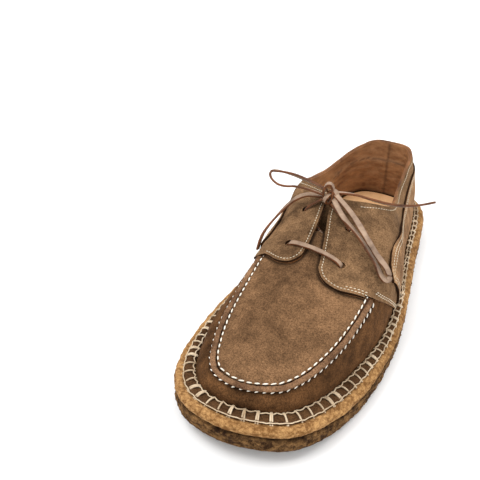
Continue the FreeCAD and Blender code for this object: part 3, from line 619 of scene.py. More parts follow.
# ---- crepe sole ---------------------------------------------------------------------------------
SIDE_COUNT = 380
theta = np.linspace(0, pi, SIDE_COUNT + 1)
ring_y = LENGTH / 2 * np.cos(theta)
top_u, toe_u = RIM[:, 1].argmax() / len(RIM), RIM[:, 1].argmin() / len(RIM)
dense = np.linspace(0, 1, 12001)


def side_u(y, outer):
    """u on one side of the shoe at each y, from the heel's tip to the toe's."""
    a = top_u if top_u < .5 else top_u - 1
    u = a + (toe_u - a) * dense if outer else (a + 1) + (toe_u - a - 1) * dense
    return np.interp(-y, -outline(u)[:, 1], u)


RING_U = np.concatenate([side_u(ring_y, True), side_u(ring_y[1:-1], False)[::-1]])

SPINE_SHARE = .62
spine_y = outline(RING_U)[:, 1] * SPINE_SHARE
spine = np.stack([table(CREST_X, spine_y), spine_y], -1)


def crust(name, profile, mats, node, slot, lumps, seed, shade_and_mottle):
    """Layer of the sole: profile rows are (inset, height share) from underside to top."""
    low, high, rows = profile
    u = RING_U
    layers, shade = [], []
    for share in (0, .35, .7):
        xy = spine + (inset(u, rows[0][0]) - spine) * share
        layers.append(np.concatenate([xy, low(xy[:, 1:])], -1))
        shade.append(0 * u)
    for depth, rise in rows:
        xy = inset(u, depth)
        z = low(xy[:, 1]) * (1 - rise) + high(xy[:, 1]) * rise
        p = np.concatenate([xy, z[:, None]], -1)
        out = outline(u) - inset(u, 1)
        bump = np.zeros(len(u))
        for size, amount in lumps:
            bump += wobble(p, size, amount, seed + size)
        face = np.clip(np.sin(pi * np.clip(rise, 0, 1)) * 1.4, .25, 1) if rise < 1 else .5
        layers.append(p + np.concatenate([out * (bump * face)[:, None], (
            bump * (.35 if 0 < rise else 0))[:, None]], -1))
        # shade attribute: painted shade from the layer's rule, with random dark patches
        shade.append(np.clip(shade_and_mottle(rise, p), 0, 1))
    for share in (.7, .35, 0):
        xy = spine + (inset(u, rows[-1][0]) - spine) * share
        layers.append(np.concatenate([xy, high(xy[:, 1:])], -1))
        shade.append(0 * u)
    grid = np.stack(layers, 1)
    obj = new_mesh(name, grid, grid_faces(*grid.shape[:2]), mats)
    paint(obj, "shade", np.stack(shade, 1))
    weld(obj)
    return keep(obj, SHOE, slot, node)


def base_shade_and_mottle(rise, p):
    # Painted shade where the outsole tucks under the midsole's lip and where it curves in to the
    # ground, with random dark patches.
    lower = wobble(p, .28, .9, 5)
    return (.55 * smooth((rise - .72) / .25) + .35 * smooth((.25 - rise) / .25) + lower * .8)


crust("outsole_crepe", (z_ground, z_seam, [
    (6, 0), (3, 0), (1.2, .04), (.35, .12), (0, .2), (-.2, .3), (-.3, .4), (-.2, .5), (-.1, .6),
    (0, .7), (.15, .8), (.5, .88), (1.3, .95), (2.6, 1.0)]), [crepe_base], "outsole",
    "crepe_dark", ((.35, .9), (.8, .55), (1.7, .25)), 3, base_shade_and_mottle)
crust("midsole_crepe", (z_seam, z_top, [
    (3.2, .02), (1.6, .06), (.7, .14), (.1, .26), (-.25, .4), (-.35, .52), (-.2, .65),
    (.15, .78), (.8, .89), (1.7, .965), (2.8, 1.0), (4.2, 1.0), (6, 1.0), (9, 1.0)]),
    [crepe_lip], "midsole", "crepe", ((.22, .55), (.6, .35), (1.5, .16)), 11,
    # painted shade on the underside of the midsole's lip, with random dark patches
    lambda rise, p: 1.2 * smooth((.2 - rise) / .2) + wobble(p, .5, .25, 9))

# ---- foot bed -----------------------------------------------------------------------------------
foot_depth = ledge(RING_U) - LINING_LOW + STIFFENER_T + 1
for node in ("insole_board", "heel_stiffener"):
    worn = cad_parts[node].data.materials
    worn.clear()
    worn.append(board_fibre)
rim = inset(RING_U, foot_depth)
rows = []
for share, drop in ((0, 1.5), (.5, 1.5), (.98, 1.5), (1, 1.2), (1, .3), (.985, 0), (.95, -.05),
                    (.8, -.05), (.6, -.05), (.4, -.05), (.2, -.05), (0, -.05)):
    xy = spine + (rim - spine) * share
    z = z_top(xy[:, 1:]) + 3.5 - drop
    p = np.concatenate([xy, z], -1)
    if drop < 0:
        p[:, 2] += wobble(p, .05, .5, 2)
    rows.append(p)
grid = np.stack(rows, 1)
sock = new_mesh("sock_lining_leather", grid, grid_faces(*grid.shape[:2]), [sock_hide])
weld(sock)
keep(sock, SHOE, "sock", "sock_lining")


# ---- stitched rows by Geometry Nodes ------------------------------------------------------------
def tree_of(name, inputs):
    tree = bpy.data.node_groups.new(name, "GeometryNodeTree")
    tree.interface.new_socket("Line", in_out="INPUT", socket_type="NodeSocketGeometry")
    for label, kind, value in inputs:
        socket = tree.interface.new_socket(label, in_out="INPUT", socket_type=kind)
        if value is not None:
            socket.default_value = value
    tree.interface.new_socket("Stitches", in_out="OUTPUT", socket_type="NodeSocketGeometry")
    net = Net(tree)
    given = net.add("NodeGroupInput").outputs
    return net, given, net.out("GeometryNodeMeshToCurve", {"Mesh": given["Line"]})


def even_points(net, line, given):
    return net.out("GeometryNodeResampleCurve", {"Curve": line, "Length": given["Pitch"]},
                   mode="LENGTH")


def out_of_leather(net):
    """Rotation with Z out of the leather and X along the line."""
    up = net.out("GeometryNodeInputNamedAttribute", {"Name": "up"}, data_type="FLOAT_VECTOR")
    turn = net.out("FunctionNodeAlignRotationToVector", {"Vector": up}, axis="Z")
    return net.out("FunctionNodeAlignRotationToVector", {
        "Rotation": turn, "Vector": net.out("GeometryNodeInputTangent")},
        axis="X", pivot_axis="Z")


def turned(net, rotation, angle):
    """The rotation turned about its own Z."""
    return net.out("FunctionNodeRotateRotation", {
        "Rotation": rotation, "Rotate By": net.out("FunctionNodeEulerToRotation", {
            0: net.out("ShaderNodeCombineXYZ", {"Z": angle})})}, rotation_space="LOCAL")


def random_between(net, seed, low, high):
    return net.add("FunctionNodeRandomValue", {"Seed": seed, 2: low, 3: high},
                   data_type="FLOAT").outputs[1]


def round_cord(net, curve, thickness, sides):
    section = net.out("GeometryNodeCurvePrimitiveCircle", {
        "Resolution": sides, "Radius": net.math("MULTIPLY", thickness, .5)})
    return net.out("GeometryNodeCurveToMesh", {
        "Curve": curve, "Profile Curve": section, "Fill Caps": True})


def ended(net, geometry, given):
    """The tree, with this geometry in the thread's material as its result."""
    shaded = net.out("GeometryNodeSetShadeSmooth", {"Geometry": geometry})
    net.add("NodeGroupOutput", {0: net.out("GeometryNodeSetMaterial", {
        "Geometry": shaded, "Material": given["Thread"]})})
    return net.tree


def stitch_tree():
    """Rounded stitches laid along a line, turned a little off it, at an even pitch."""
    net, given, line = tree_of("Stitch row", [
        ("Pitch", NUMBER, .004), ("Length", NUMBER, .0025), ("Thickness", NUMBER, .0008),
        ("Slant", NUMBER, 0.0), ("Unevenness", NUMBER, .1), ("Seed", "NodeSocketInt", 1),
        ("Thread", "NodeSocketMaterial", None)])
    bead = net.out("GeometryNodeMeshUVSphere", {"Segments": 8, "Rings": 6, "Radius": .5})
    size = net.out("ShaderNodeCombineXYZ", {"X": given["Length"], "Y": given["Thickness"],
                                            "Z": given["Thickness"]})
    spread = random_between(net, given["Seed"], -1.0, 1.0)
    lean = net.math("ADD", given["Slant"], net.math("MULTIPLY", spread, given["Unevenness"]))
    laid = net.out("GeometryNodeInstanceOnPoints", {
        "Points": even_points(net, line, given),
        "Instance": net.out("GeometryNodeTransform", {"Geometry": bead, "Scale": size}),
        "Rotation": turned(net, out_of_leather(net), lean),
        "Scale": net.out("ShaderNodeCombineXYZ", {
            "X": net.fit(spread, -1, 1, .88, 1.12), "Y": 1.0, "Z": 1.0})})
    return ended(net, net.out("GeometryNodeRealizeInstances", {"Geometry": laid}), given)


def line_object(name, points, ups):
    """Chain of edges whose points know which way is out of the leather."""
    mesh = bpy.data.meshes.new(name)
    mesh.from_pydata((points * MM).tolist(), [(i, i + 1) for i in range(len(points) - 1)], [])
    data = mesh.attributes.new("up", "FLOAT_VECTOR", "POINT").data
    data.foreach_set("vector", np.asarray(ups, np.float32).ravel())
    return added(name, mesh)


def grow(obj, tree, values):
    """The tree's result on obj as a plain mesh object."""
    modifier = obj.modifiers.new("Rows", "NODES")
    modifier.node_group = tree
    names = {item.name: item.identifier for item in tree.interface.items_tree
             if item.item_type == "SOCKET" and item.in_out == "INPUT"}
    for key, value in values.items():
        modifier[names[key]] = value
    out = added(obj.name, settled(obj))
    bpy.data.objects.remove(obj)
    return out


def joined(name, objects):
    """One object from several meshes."""
    bm = bmesh.new()
    mats = []
    for obj in objects:
        start = len(bm.faces)
        bm.from_mesh(obj.data)
        bm.faces.ensure_lookup_table()
        for face in bm.faces[start:]:
            mat = obj.data.materials[face.material_index]
            if mat not in mats:
                mats.append(mat)
            face.material_index = mats.index(mat)
        bpy.data.objects.remove(obj)
    mesh = bpy.data.meshes.new(name)
    bm.to_mesh(mesh)
    bm.free()
    for mat in mats:
        mesh.materials.append(mat)
    return added(name, mesh)


STITCH_ROW = stitch_tree()


def sewn(name, node, lines, thread, pitch, length, thick, slant, uneven, seed):
    """Stitch rows along lines of (points, ups), as one piece."""
    parts = [grow(line_object("%s_%d" % (name, k), p, n), STITCH_ROW, {
        "Pitch": pitch * MM, "Length": length * MM, "Thickness": thick * MM, "Slant": slant,
        "Unevenness": uneven, "Seed": seed + k, "Thread": thread}) for k, (p, n) in
        enumerate(lines)]
    return keep(joined(name, parts), SHOE, "thread", node)


def along_form(u, v, offset):
    v = np.broadcast_to(v, u.shape)
    return leather(u, v, offset), normals(u, v)


# ---- vamp wall, apron and rolled seam -----------------------------------------------------------
vamp_out, vamp_in = u_at(10, True), u_at(10, False)
seam_out, seam_in = u_at(SEAM_BACK_OUT, True), u_at(SEAM_BACK_IN, False)
seam_u = np.linspace(seam_out, seam_in, 500)
inner_row, inner_up = along_form(seam_u, INNER_ROW_V, .35)
outer_row, outer_up = along_form(seam_u, OUTER_ROW_V, .5)

uu, vv = np.meshgrid(np.linspace(vamp_out, vamp_in, 420), np.concatenate([
    np.linspace(FOOT_V, .80, 22), np.linspace(.82, .955, 12)]), indexing="ij")
skin = wobble(form(uu, vv), .06, .9, 21) + wobble(form(uu, vv), .22, .25, 4)
skin -= .5 * np.exp(-(near_line(form(uu, vv), outer_row) / .9)**2)
skin -= 1.1 * smooth((vv - .925) / .03)
foot_pinch = -.8 * smooth((.08 - vv) / .08)
vamp = plate("vamp_suede", leather(uu, vv, skin + foot_pinch), leather(uu, vv, -LEATHER_T),
             (suede_vamp, suede_edge, suede_vamp))
# Painted shade in the groove beside the outer stitch row.
shadowed(vamp, outer_row, 1.7, .9)
keep(vamp, SHOE, "suede_dark", "vamp")

uu, vv = np.meshgrid(np.linspace(vamp_out, vamp_in, 120), np.linspace(FOOT_V, .93, 8),
                     indexing="ij")
hide_faces = lining_hide, lining_edge, lining_hide
keep(plate("vamp_lining_leather", leather(uu, vv, LINING_LOW + LINING_T),
           leather(uu, vv, LINING_LOW), hide_faces), SHOE, "lining", "vamp_lining")


def top_panel(name, v_edge, low_off, high_off, mats, node, slot, rows, detail):
    """Panel over the top, from the shoulder line round the toe to a rear edge."""
    count = 150
    ys = np.interp(np.sin(np.linspace(0, pi / 2, count + 1)), [0, 1], [APRON_BACK, -LENGTH / 2])
    us = np.concatenate([side_u(ys, True), side_u(ys[:-1], False)[::-1]])
    share = np.linspace(0, 1, rows)**1.15
    uu, ss = np.meshgrid(us, share, indexing="ij")
    vv = v_edge + (1.999 - v_edge) * ss
    p = form(uu, vv)
    n = normals(uu, vv)
    n[:, -1] = n[:, -2] + n[::-1, -2]
    crest = form(us, np.full(len(us), 2.0))
    p[:, -1] = (crest + crest[::-1]) / 2
    n[:, -1] /= np.linalg.norm(n[:, -1], axis=-1, keepdims=True)
    lift = detail(p, vv)
    top = p + n * (high_off + lift)[..., None]
    under = p + n * low_off
    obj = plate(name, top, under, mats, .4)
    return keep(obj, SHOE, slot, node)


def apron_detail(p, vv):
    lift = wobble(p, .035, 1.6, 8) + wobble(p, .11, .45, 15) + wobble(p, .3, .12, 5)
    lift = lift * smooth((vv - 1.08) / .25)
    return lift - .45 * np.exp(-(near_line(p, inner_row) / .9)**2) + .5 * smooth(
        (1.10 - vv) / .03)


apron = top_panel("apron_suede", 1.075, -LEATHER_T, 0, (suede_apron, suede_edge, suede_apron),
                  "apron", "suede", 46, apron_detail)
top_panel("apron_lining_leather", 1.13, LINING_LOW, LINING_LOW + LINING_T, hide_faces,
          "apron_lining", "lining", 14, lambda p, vv: 0 * vv)

count, around = 520, 14
ROLL_W, ROLL_H = 1.6, 1.55
ru = np.linspace(seam_out, seam_in, count)
centre, up = along_form(ru, SEAM_V, .35)
run = np.gradient(centre, axis=0)
run /= np.linalg.norm(run, axis=1, keepdims=True)
across = np.cross(run, up)
turns = np.linspace(0, 2 * pi, around, endpoint=False)
ring = (centre[:, None] + across[:, None] * (ROLL_W * np.cos(turns))[None, :, None]
        + up[:, None] * (ROLL_H * np.sin(turns))[None, :, None])
crease = wobble(ring, .5, .35, 3) + .22 * np.sin(
    turns * 3 + 1.2)[None, :] * np.clip(1 + wobble(ring, .08, 1.5, 6), 0, 2)
ring += (ring - centre[:, None]) / 1.7 * crease[..., None]
faces = grid_faces(count, around, False, True)
faces += [tuple(range(around))[::-1], tuple((count - 1) * around + j for j in range(around))]
roll = new_mesh("rolled_apron_seam", ring, faces, [suede_roll])
# Painted shade on the underside of the rolled seam.
paint(roll, "shade", np.clip(np.broadcast_to(-.2 - .9 * np.sin(turns), ring.shape[:2]), 0, 1))
weld(roll)
keep(roll, SHOE, "suede_roll", "apron_seam_roll")

sewn("apron_inner_seam", "apron_inner_stitching", [(inner_row, inner_up)], seam_thread, 4.5, 3.4,
     1.0, .06, .12, 3)
sewn("apron_outer_seam", "apron_outer_stitching", [(outer_row, outer_up)], seam_thread, 4.4, 3.2,
     1.0, .45, .15, 5)


# ---- quarters -----------------------------------------------------------------------------------
def sewing(u, v, face, detail, share):
    """Line lying on a leather face that has the given surface detail."""
    p = form(u, v)
    return leather(u, v, face + share * detail(p) - .12), normals(u, v)


def topline_v(u, rows):
    return v_where(u, lambda p: p[..., 2] - np.where(p[..., 1] > 0, table(rows, p[..., 1]), 200),
                   .4, 1.98)


def front_v(u, ends):
    (y0, z0), (y1, z1) = ends
    return v_where(u, lambda p: p[..., 2] - (z0 + (z1 - z0) * (p[..., 1] - y0) / (y1 - y0)),
                   0.0, 1.4)


def quarter_bounds(outer):
    """u samples with the lowest and highest v of one quarter."""
    tab, rows = (TAB_OUT, TOPLINE_OUT) if outer else (TAB_IN, TOPLINE_IN)
    flat = through(tab, 900)
    tu, tv = uv_of(flat[:, 0], flat[:, 1])
    if not outer:
        tu = 1 - tu
    tip = int(np.argmax(tu))
    front = FRONT_OUT if outer else FRONT_IN
    real = (lambda u: u) if outer else (lambda u: 1 - u)
    u_foot = float(real(u_at(front[0][0], outer)))
    u_join = tu[0]
    climb_u = np.linspace(u_foot, u_join, 60)
    climb_v = np.maximum(.05, front_v(real(climb_u), front))
    climb_v[-1] = tv[0]
    low_u = np.concatenate([climb_u[:-1], tu[:tip + 1]])
    low_v = np.concatenate([climb_v[:-1], tv[:tip + 1]])
    order = np.argsort(low_u)
    low_u, low_v = low_u[order], low_v[order]
    face_u, face_v = tu[tip:][::-1], tv[tip:][::-1]
    tip_u = tu[tip]
    probe = np.linspace(face_u[0], min(face_u[0] + .06, tip_u), 200)
    both = topline_v(real(probe), rows) - np.interp(probe, face_u, face_v)
    corner = probe[np.argmax(both > 0)] if (both > 0).any() else face_u[0]
    cut = np.linspace(0, 1, 71)
    samples = np.concatenate([
        corner * cut[:-1], corner + (u_foot - corner) * np.linspace(0, 1, 12)[:-1],
        u_foot + (tip_u - u_foot) * np.sin(np.linspace(0, pi / 2, 90))])
    samples = np.unique(samples)
    top = np.minimum(topline_v(real(samples), rows), np.interp(
        samples, face_u, face_v, left=2.0))
    bottom = np.interp(samples, low_u, low_v, left=.05)
    bottom = np.minimum(bottom, top - 1e-4)
    return real(samples), bottom, top


def side_line(rows, outer, drop):
    """Line a fixed drop below the topline, from the heel towards the facing."""
    u = np.linspace(.010, u_at(20, True), 260) if outer else np.linspace(
        .990, u_at(20, False), 260)
    v = v_where(u, lambda p: p[..., 2] - table(rows, p[..., 1]) + drop, .3, 1.9)
    return u, v


def wrinkles(p, v):
    return (wobble(p, .045, 1.4, 31) + wobble(p * np.array([1, .5, 1.4]), .12, .5, 2)
            + wobble(p, .3, .12, 7)) * smooth((v - .04) / .15)


def full_wrinkles(p):
    return wrinkles(p, 1)


def tab_line(outer, inward):
    """Sewing line a fixed step inside the tab and facing edge."""
    flat = through(TAB_OUT if outer else TAB_IN, 400)[:-60]
    step = np.gradient(flat, axis=0)
    step /= np.linalg.norm(step, axis=1, keepdims=True)
    side = np.stack([-step[:, 1], step[:, 0]], -1) * (1 if not outer else -1)
    return flat + side * inward


PUNCH_FROM, PUNCH_TO, PUNCH_SIDES = -6.0, 8.0, 24
cutters = []
for name, (x, y) in EYELETS.items():
    a, b = on_top(x, y, PUNCH_FROM), on_top(x, y, PUNCH_TO)
    axis = Vector(b - a).normalized()
    turn = Vector((0, 0, 1)).rotation_difference(axis)
    ring = [turn @ Vector((EYELET_R * cos(t), EYELET_R * sin(t), 0)) for t in
            np.linspace(0, 2 * pi, PUNCH_SIDES, endpoint=False)]
    verts = [Vector(a) + r for r in ring] + [Vector(b) + r for r in ring]
    faces = [(i, (i + 1) % PUNCH_SIDES, PUNCH_SIDES + (i + 1) % PUNCH_SIDES, PUNCH_SIDES + i)
             for i in range(PUNCH_SIDES)]
    faces += [tuple(range(PUNCH_SIDES))[::-1], tuple(range(PUNCH_SIDES, 2 * PUNCH_SIDES))]
    cutters.append(new_mesh("punch_" + name, [tuple(v) for v in verts], faces, [suede_edge]))
punches = joined("punches", cutters)


def punched(obj):
    """obj with the lace holes cut through it."""
    cut = obj.modifiers.new("Lace holes", "BOOLEAN")
    cut.operation, cut.object, cut.solver = "DIFFERENCE", punches, "EXACT"
    mesh = settled(obj)
    obj.modifiers.clear()
    obj.data = mesh
    return obj


def stiffened(p):
    edge = table([(70, 20), (84, 40), (104, 52), (150, 58)], p[..., 1])
    return np.where(p[..., 1] > 60, smooth((edge - p[..., 2]) / 5 + .5), 0)


SEAM_X, FLANK_X = 2.0, 27.0
ROW_STEPS = 2.0, 3.9
COLLAR_Y, COLLAR_Z = .012, .05     # metres; a cut edge behind and above is the topline's
EDGE_ROW = edge_thread, 2.2, 1.7, .62, .1, .12
edge_rows = {}
for outer, side in ((True, "lateral"), (False, "medial")):
    us, bottom, top = quarter_bounds(outer)
    uu, ss = np.meshgrid(us, np.linspace(0, 1, 44), indexing="ij")
    vv = bottom[:, None] + (top - bottom)[:, None] * ss
    p = form(uu, vv)
    lines = []
    for step in ROW_STEPS:
        flat = tab_line(outer, step)
        tu, tv = uv_of(flat[:, 0], flat[:, 1])
        inside = tv > 1.01
        if step > ROW_STEPS[0]:     # the second row follows the outer tab's flank only
            inside &= outer & (flat[:, 0] > FLANK_X)
        tu, tv = tu[inside], tv[inside]
        if len(tu) > 4:
            lines.append(sewing(tu, tv, QUARTER_HIGH, full_wrinkles, .8))
    (y0, z0), (y1, z1) = FRONT_OUT if outer else FRONT_IN
    for step in ROW_STEPS:
        y = np.linspace(y1 + 5 + step, y0 + step, 90)
        z = z1 + (z0 - z1) * (y - step - y1) / (y0 - y1)
        lu = np.array([u_at(q, outer) for q in y])
        lv = v_where(lu, lambda q: q[..., 2] - z, 0, 1.0)
        lines.append(sewing(lu, lv, QUARTER_HIGH, full_wrinkles, .8))
    # Painted shadow on the apron and vamp beside the tab and facing edges.
    edge = tab_line(outer, -.6)
    for piece in (apron, vamp):
        shadowed(piece, on_top(edge[:, 0], edge[:, 1], 0.0), 1.3, .9)
    lu, lv = side_line(TOPLINE_OUT if outer else TOPLINE_IN, outer, 2.4)
    top_row = sewing(lu, lv, QUARTER_HIGH, full_wrinkles, .8)
    edge_rows[side] = (lines, top_row)
    lift = wrinkles(p, vv)
    for line, _ in lines + [top_row]:
        lift = lift - .25 * np.exp(-(near_line(p, line) / 1.5)**2)
    face = leather(uu, vv, QUARTER_HIGH + lift * .8)
    back = leather(uu, vv, QUARTER_LOW)
    if not outer:
        face, back = face[::-1], back[::-1]
    quarter = plate("quarter_%s_suede" % side, face, back,
                    (suede_quarter, suede_edge, suede_quarter), .4)
    quarter.data.materials.append(lining_edge)
    for face in quarter.data.polygons:
        if face.material_index == 1 and face.center.y > COLLAR_Y and face.center.z > COLLAR_Z:
            face.material_index = 3
    keep(punched(quarter), SHOE, "suede", "quarter_" + side)
    uu, ss = np.meshgrid(us, np.linspace(0, 1, 40), indexing="ij")
    vv = np.maximum(bottom[:, None], .02) + (top - .004 - bottom)[:, None] * ss
    p = form(uu, vv)
    inner_off = -(STIFFENER_T + PLY_GAP) * stiffened(p)
    fold = (wobble(p * np.array([.6, .5, 2.2]), .09, .9, 13) + wobble(p, .2, .25, 3)) * smooth(
        (vv - .1) / .2) * smooth((top[:, None] - vv) / .12)
    seam = np.exp(-((p[..., 0] - SEAM_X) / 1.1)**2) * (p[..., 1] > 100)
    face = leather(uu, vv, inner_off)
    back = leather(uu, vv, inner_off - LINING_T - np.abs(fold) * 1.3 - .7 * seam)
    # Painted shade along the lining's back seam and along the stiffener's edge.
    marks = back[(np.abs(p[..., 0] - SEAM_X - 1.6) < .8) & (p[..., 1] > 100)
                 | (np.abs(stiffened(p) - .5) < .12) & (p[..., 1] > 66)]
    if not outer:
        face, back = face[::-1], back[::-1]
    lining = plate("quarter_lining_%s_leather" % side, face, back, hide_faces, .3)
    if len(marks):
        shadowed(lining, marks, .8, .5)
    keep(punched(lining), SHOE, "lining", "quarter_lining_" + side)
bpy.data.objects.remove(punches)
for side, rows in edge_rows.items():
    sewn("quarter_%s_seam" % side, "quarter_stitching_" + side, rows[0], *EDGE_ROW, 9)
sewn("topline_seam", "topline_stitching", [rows[1] for rows in edge_rows.values()], *EDGE_ROW, 17)

# ---- heel counter -------------------------------------------------------------------------------
def counter_edge(u, rows):
    oy = outline(u)[:, 1]
    return v_where(u, lambda p: p[..., 2] - table(rows, oy), 0, 1.2)


def counter_cap(u, v, step=0.0):
    """v kept below the topline on each side."""
    for outer, rows in ((True, TOPLINE_OUT), (False, TOPLINE_IN)):
        cap = v_where(u, lambda p: p[..., 2] - table(rows, p[..., 1]) + COUNTER_BELOW + step,
                      .3, 1.9)
        v = np.where((u % 1 < .5) == outer, np.minimum(v, cap), v)
    return v


front_in, front_out = u_at(COUNTER_FRONT, False) - 1, u_at(COUNTER_FRONT, True)
span = np.sin(np.linspace(-pi / 2, pi / 2, 330))
cu = (front_in + front_out) / 2 + (front_out - front_in) / 2 * span
counter_top = counter_cap(cu, counter_edge(cu, COUNTER_TOP))
counter_low = np.maximum(.05, counter_edge(cu, COUNTER_LOW))
uu, ss = np.meshgrid(cu, np.linspace(0, 1, 34), indexing="ij")
vv = counter_low[:, None] + (counter_top - counter_low)[:, None] * ss
p = form(uu, vv)


def puckers(p):
    return wobble(p, .05, 1.0, 41) + wobble(p, .2, .25, 8)


def counter_row(step):
    """Sewing line a fixed step inside the counter's top and front edges."""
    lines = []
    for outer in (True, False):
        y = np.concatenate([np.linspace(2, COUNTER_FRONT + step * .9, 60)[:-1],
                            np.linspace(COUNTER_FRONT + step * .9, 139, 420)])
        z = np.concatenate([table(COUNTER_LOW, y[:59] - step) + step * .35,
                            table(COUNTER_TOP, y[59:]) - step])
        u = np.array([u_at(q, outer) for q in y])
        v = counter_cap(u, v_where(u, lambda p: p[..., 2] - z, 0, 1.2), step)
        lines.append(sewing(u, v, COUNTER_HIGH, puckers, .6))
    return lines


counter_lines = counter_row(1.8) + counter_row(3.7)
lift = puckers(p)
for line, _ in counter_lines:
    lift = lift - .25 * np.exp(-(near_line(p, line) / 1.6)**2)
counter = plate("heel_counter_suede", leather(uu, vv, COUNTER_HIGH + lift * .6), leather(
    uu, vv, COUNTER_LOW_FACE), (suede_counter, suede_edge, suede_counter))
keep(counter, SHOE, "suede_dark", "heel_counter")
sewn("counter_seam", "counter_stitching", counter_lines, edge_thread, 2.3, 1.8, .66, .15, .12, 23)

# ---- tongue -------------------------------------------------------------------------------------
def tongue_piece(name, y0, y1, low_off, high_off, body, node):
    ys, ss = np.meshgrid(np.linspace(y0, y1, 50), np.linspace(-1, 1, 31), indexing="ij")
    half = TONGUE_HALF - 8 * np.clip((ys - 20) / 14, 0, 1)**2
    xs = table(CREST_X, ys) + half * ss
    base = on_top(xs, ys)
    lift = wobble(base, .08, .8, 12)
    obj = plate(name, on_top(xs, ys, high_off + np.minimum(lift, 0)), on_top(xs, ys, low_off), (
        suede_tongue, suede_edge, suede_tongue), .5)
    return keep(obj, body, "suede_dark", node)


tongue_piece("tongue_suede", FOLD_Y + FOLD_GAP, 34, -TONGUE_DROP - TONGUE_T, -TONGUE_DROP, TONGUE,
             "tongue")
tongue_piece("tongue_root_suede", FOLD_Y - 12, FOLD_Y, LINING_LOW - PLY_GAP - 4,
             LINING_LOW - PLY_GAP, SHOE, "tongue_root")

# ---- flange and ladder stitching ----------------------------------------------------------------
fu = RING_U
depth_out, depth_in = .42 * ledge(fu), ledge(fu) - .3
rows = []
for share, rise in ((0, 0), (0, .75), (.06, 1.0), (.3, 1.04), (.6, 1.0), (.85, .98), (1, .95),
                    (1, 0)):
    xy = inset(fu, depth_out + (depth_in - depth_out) * share)
    z = z_top(xy[:, 1]) + FLANGE_T * rise
    q = np.concatenate([xy, z[:, None]], -1)
    if 0 < rise:
        q[:, 2] += wobble(q, .35, .3, 6)
        if share < .1:
            q[:, :2] += (wobble(q, .25, .6, 7)[:, None]) * (outline(fu) - inset(fu, 1))
    rows.append(q)
grid = np.stack(rows, 1)
flange = new_mesh("flange_suede", grid, grid_faces(*grid.shape[:2], closed_v=True),
                  [flange_suede])
weld(flange)
keep(flange, SHOE, "suede_dark", "flange")


def ladder_tree():
    """Rungs of thick thread over an edge, some of them doubled."""
    net, given, line = tree_of("Ladder stitching", [
        ("Pitch", NUMBER, .0066), ("Reach", NUMBER, .007), ("Thickness", NUMBER, .0012),
        ("Seed", "NodeSocketInt", 1), ("Thread", "NodeSocketMaterial", None)])
    even = even_points(net, line, given)
    arch = net.out("GeometryNodeCurveQuadraticBezier", {
        "Resolution": 9, "Start": (0, -.5, -.05), "Middle": (0, .05, .30), "End": (0, .5, -.22)})
    size = net.out("ShaderNodeCombineXYZ", dict.fromkeys("XYZ", given["Reach"]))
    arch = net.out("GeometryNodeTransform", {"Geometry": arch, "Scale": size})
    rung = round_cord(net, arch, given["Thickness"], 8)
    turn = out_of_leather(net)
    both = net.add("GeometryNodeJoinGeometry")
    for shift, share, seed in ((0, 1.0, 0), (.95, .45, 50)):
        spread = random_between(net, net.math("ADD", given["Seed"], float(seed)), -.16, .16)
        chance = net.add("FunctionNodeRandomValue", {
            "Seed": net.math("ADD", given["Seed"], 7.0 + seed)}, data_type="BOOLEAN")
        chance.inputs["Probability"].default_value = share
        aside = net.out("GeometryNodeTransform", {
            "Geometry": rung, "Translation": net.out("ShaderNodeCombineXYZ", {
                "X": net.math("MULTIPLY", given["Thickness"], float(shift))})})
        net.tree.links.new(net.out("GeometryNodeInstanceOnPoints", {
            "Points": even, "Instance": aside, "Selection": chance.outputs[3],
            "Rotation": turned(net, turn, spread)}), both.inputs[0])
    real = net.out("GeometryNodeRealizeInstances", {"Geometry": both.outputs[0]})
    return ended(net, real, given)


def rail_tree():
    """Thread laid along a line as a round cord."""
    net, given, line = tree_of("Rail of thread", [
        ("Thickness", NUMBER, .0009), ("Thread", "NodeSocketMaterial", None)])
    return ended(net, round_cord(net, line, given["Thickness"], 7), given)


LADDER, RAIL = ladder_tree(), rail_tree()
RUNG_PITCH, RUNG_T = 6.6, 1.05
PART_COUNT, PART_POINTS = 20, 80
lu = np.linspace(.0005, .9995, PART_COUNT * PART_POINTS)
oy = outline(lu)[:, 1]
cover = np.where(oy > 6, COUNTER_HIGH, np.where(oy > -2, QUARTER_HIGH, 0))
cover = np.convolve(np.pad(cover, 6, mode="edge"), np.ones(13) / 13, "valid")
wall_d, edge_d = ledge(lu) - cover - .7, .42 * ledge(lu) - .4
middle = inset(lu, (wall_d + edge_d) / 2)
line = np.concatenate([middle, (z_top(middle[:, 1]) + FLANGE_T + .35)[:, None]], -1)
ups = np.tile([0, 0, 1.0], (len(lu), 1))
pieces = []
for k in range(PART_COUNT):
    part = slice(k * PART_POINTS, min(len(lu), (k + 1) * PART_POINTS + 1))
    reach = float((wall_d - edge_d)[part].mean()) + .6
    pieces.append(grow(line_object("rungs_%d" % k, line[part], ups[part]), LADDER, {
        "Pitch": RUNG_PITCH * MM, "Reach": reach * MM, "Thickness": RUNG_T * MM, "Seed": 11 + k,
        "Thread": waxed_thread}))
walk = np.concatenate([[0], np.cumsum(np.linalg.norm(np.diff(line, axis=0), axis=1))])
sway = np.abs(np.sin(walk * pi / RUNG_PITCH))
for depth, high_z, thick, bow in ((wall_d, .75, .8, .9), (edge_d, .0, .7, .5)):
    xy = inset(lu, depth - bow * sway * (1 if depth is wall_d else -1) + wobble(line, .3, .5, 5))
    z = z_top(xy[:, 1]) + FLANGE_T + high_z + wobble(line, .4, .35, 2)
    pieces.append(grow(line_object("rail", np.concatenate([xy, z[:, None]], -1), ups), RAIL, {
        "Thickness": thick * MM, "Thread": waxed_thread}))
keep(joined("ladder_stitching", pieces), SHOE, "waxed_thread", "welt_stitching")

# ---- lace ---------------------------------------------------------------------------------------
LACE_RISE = 1.55
lift = QUARTER_HIGH + LACE_RISE


def at_eyelet(name, offset):
    return tuple(on_top(*EYELETS[name], offset))


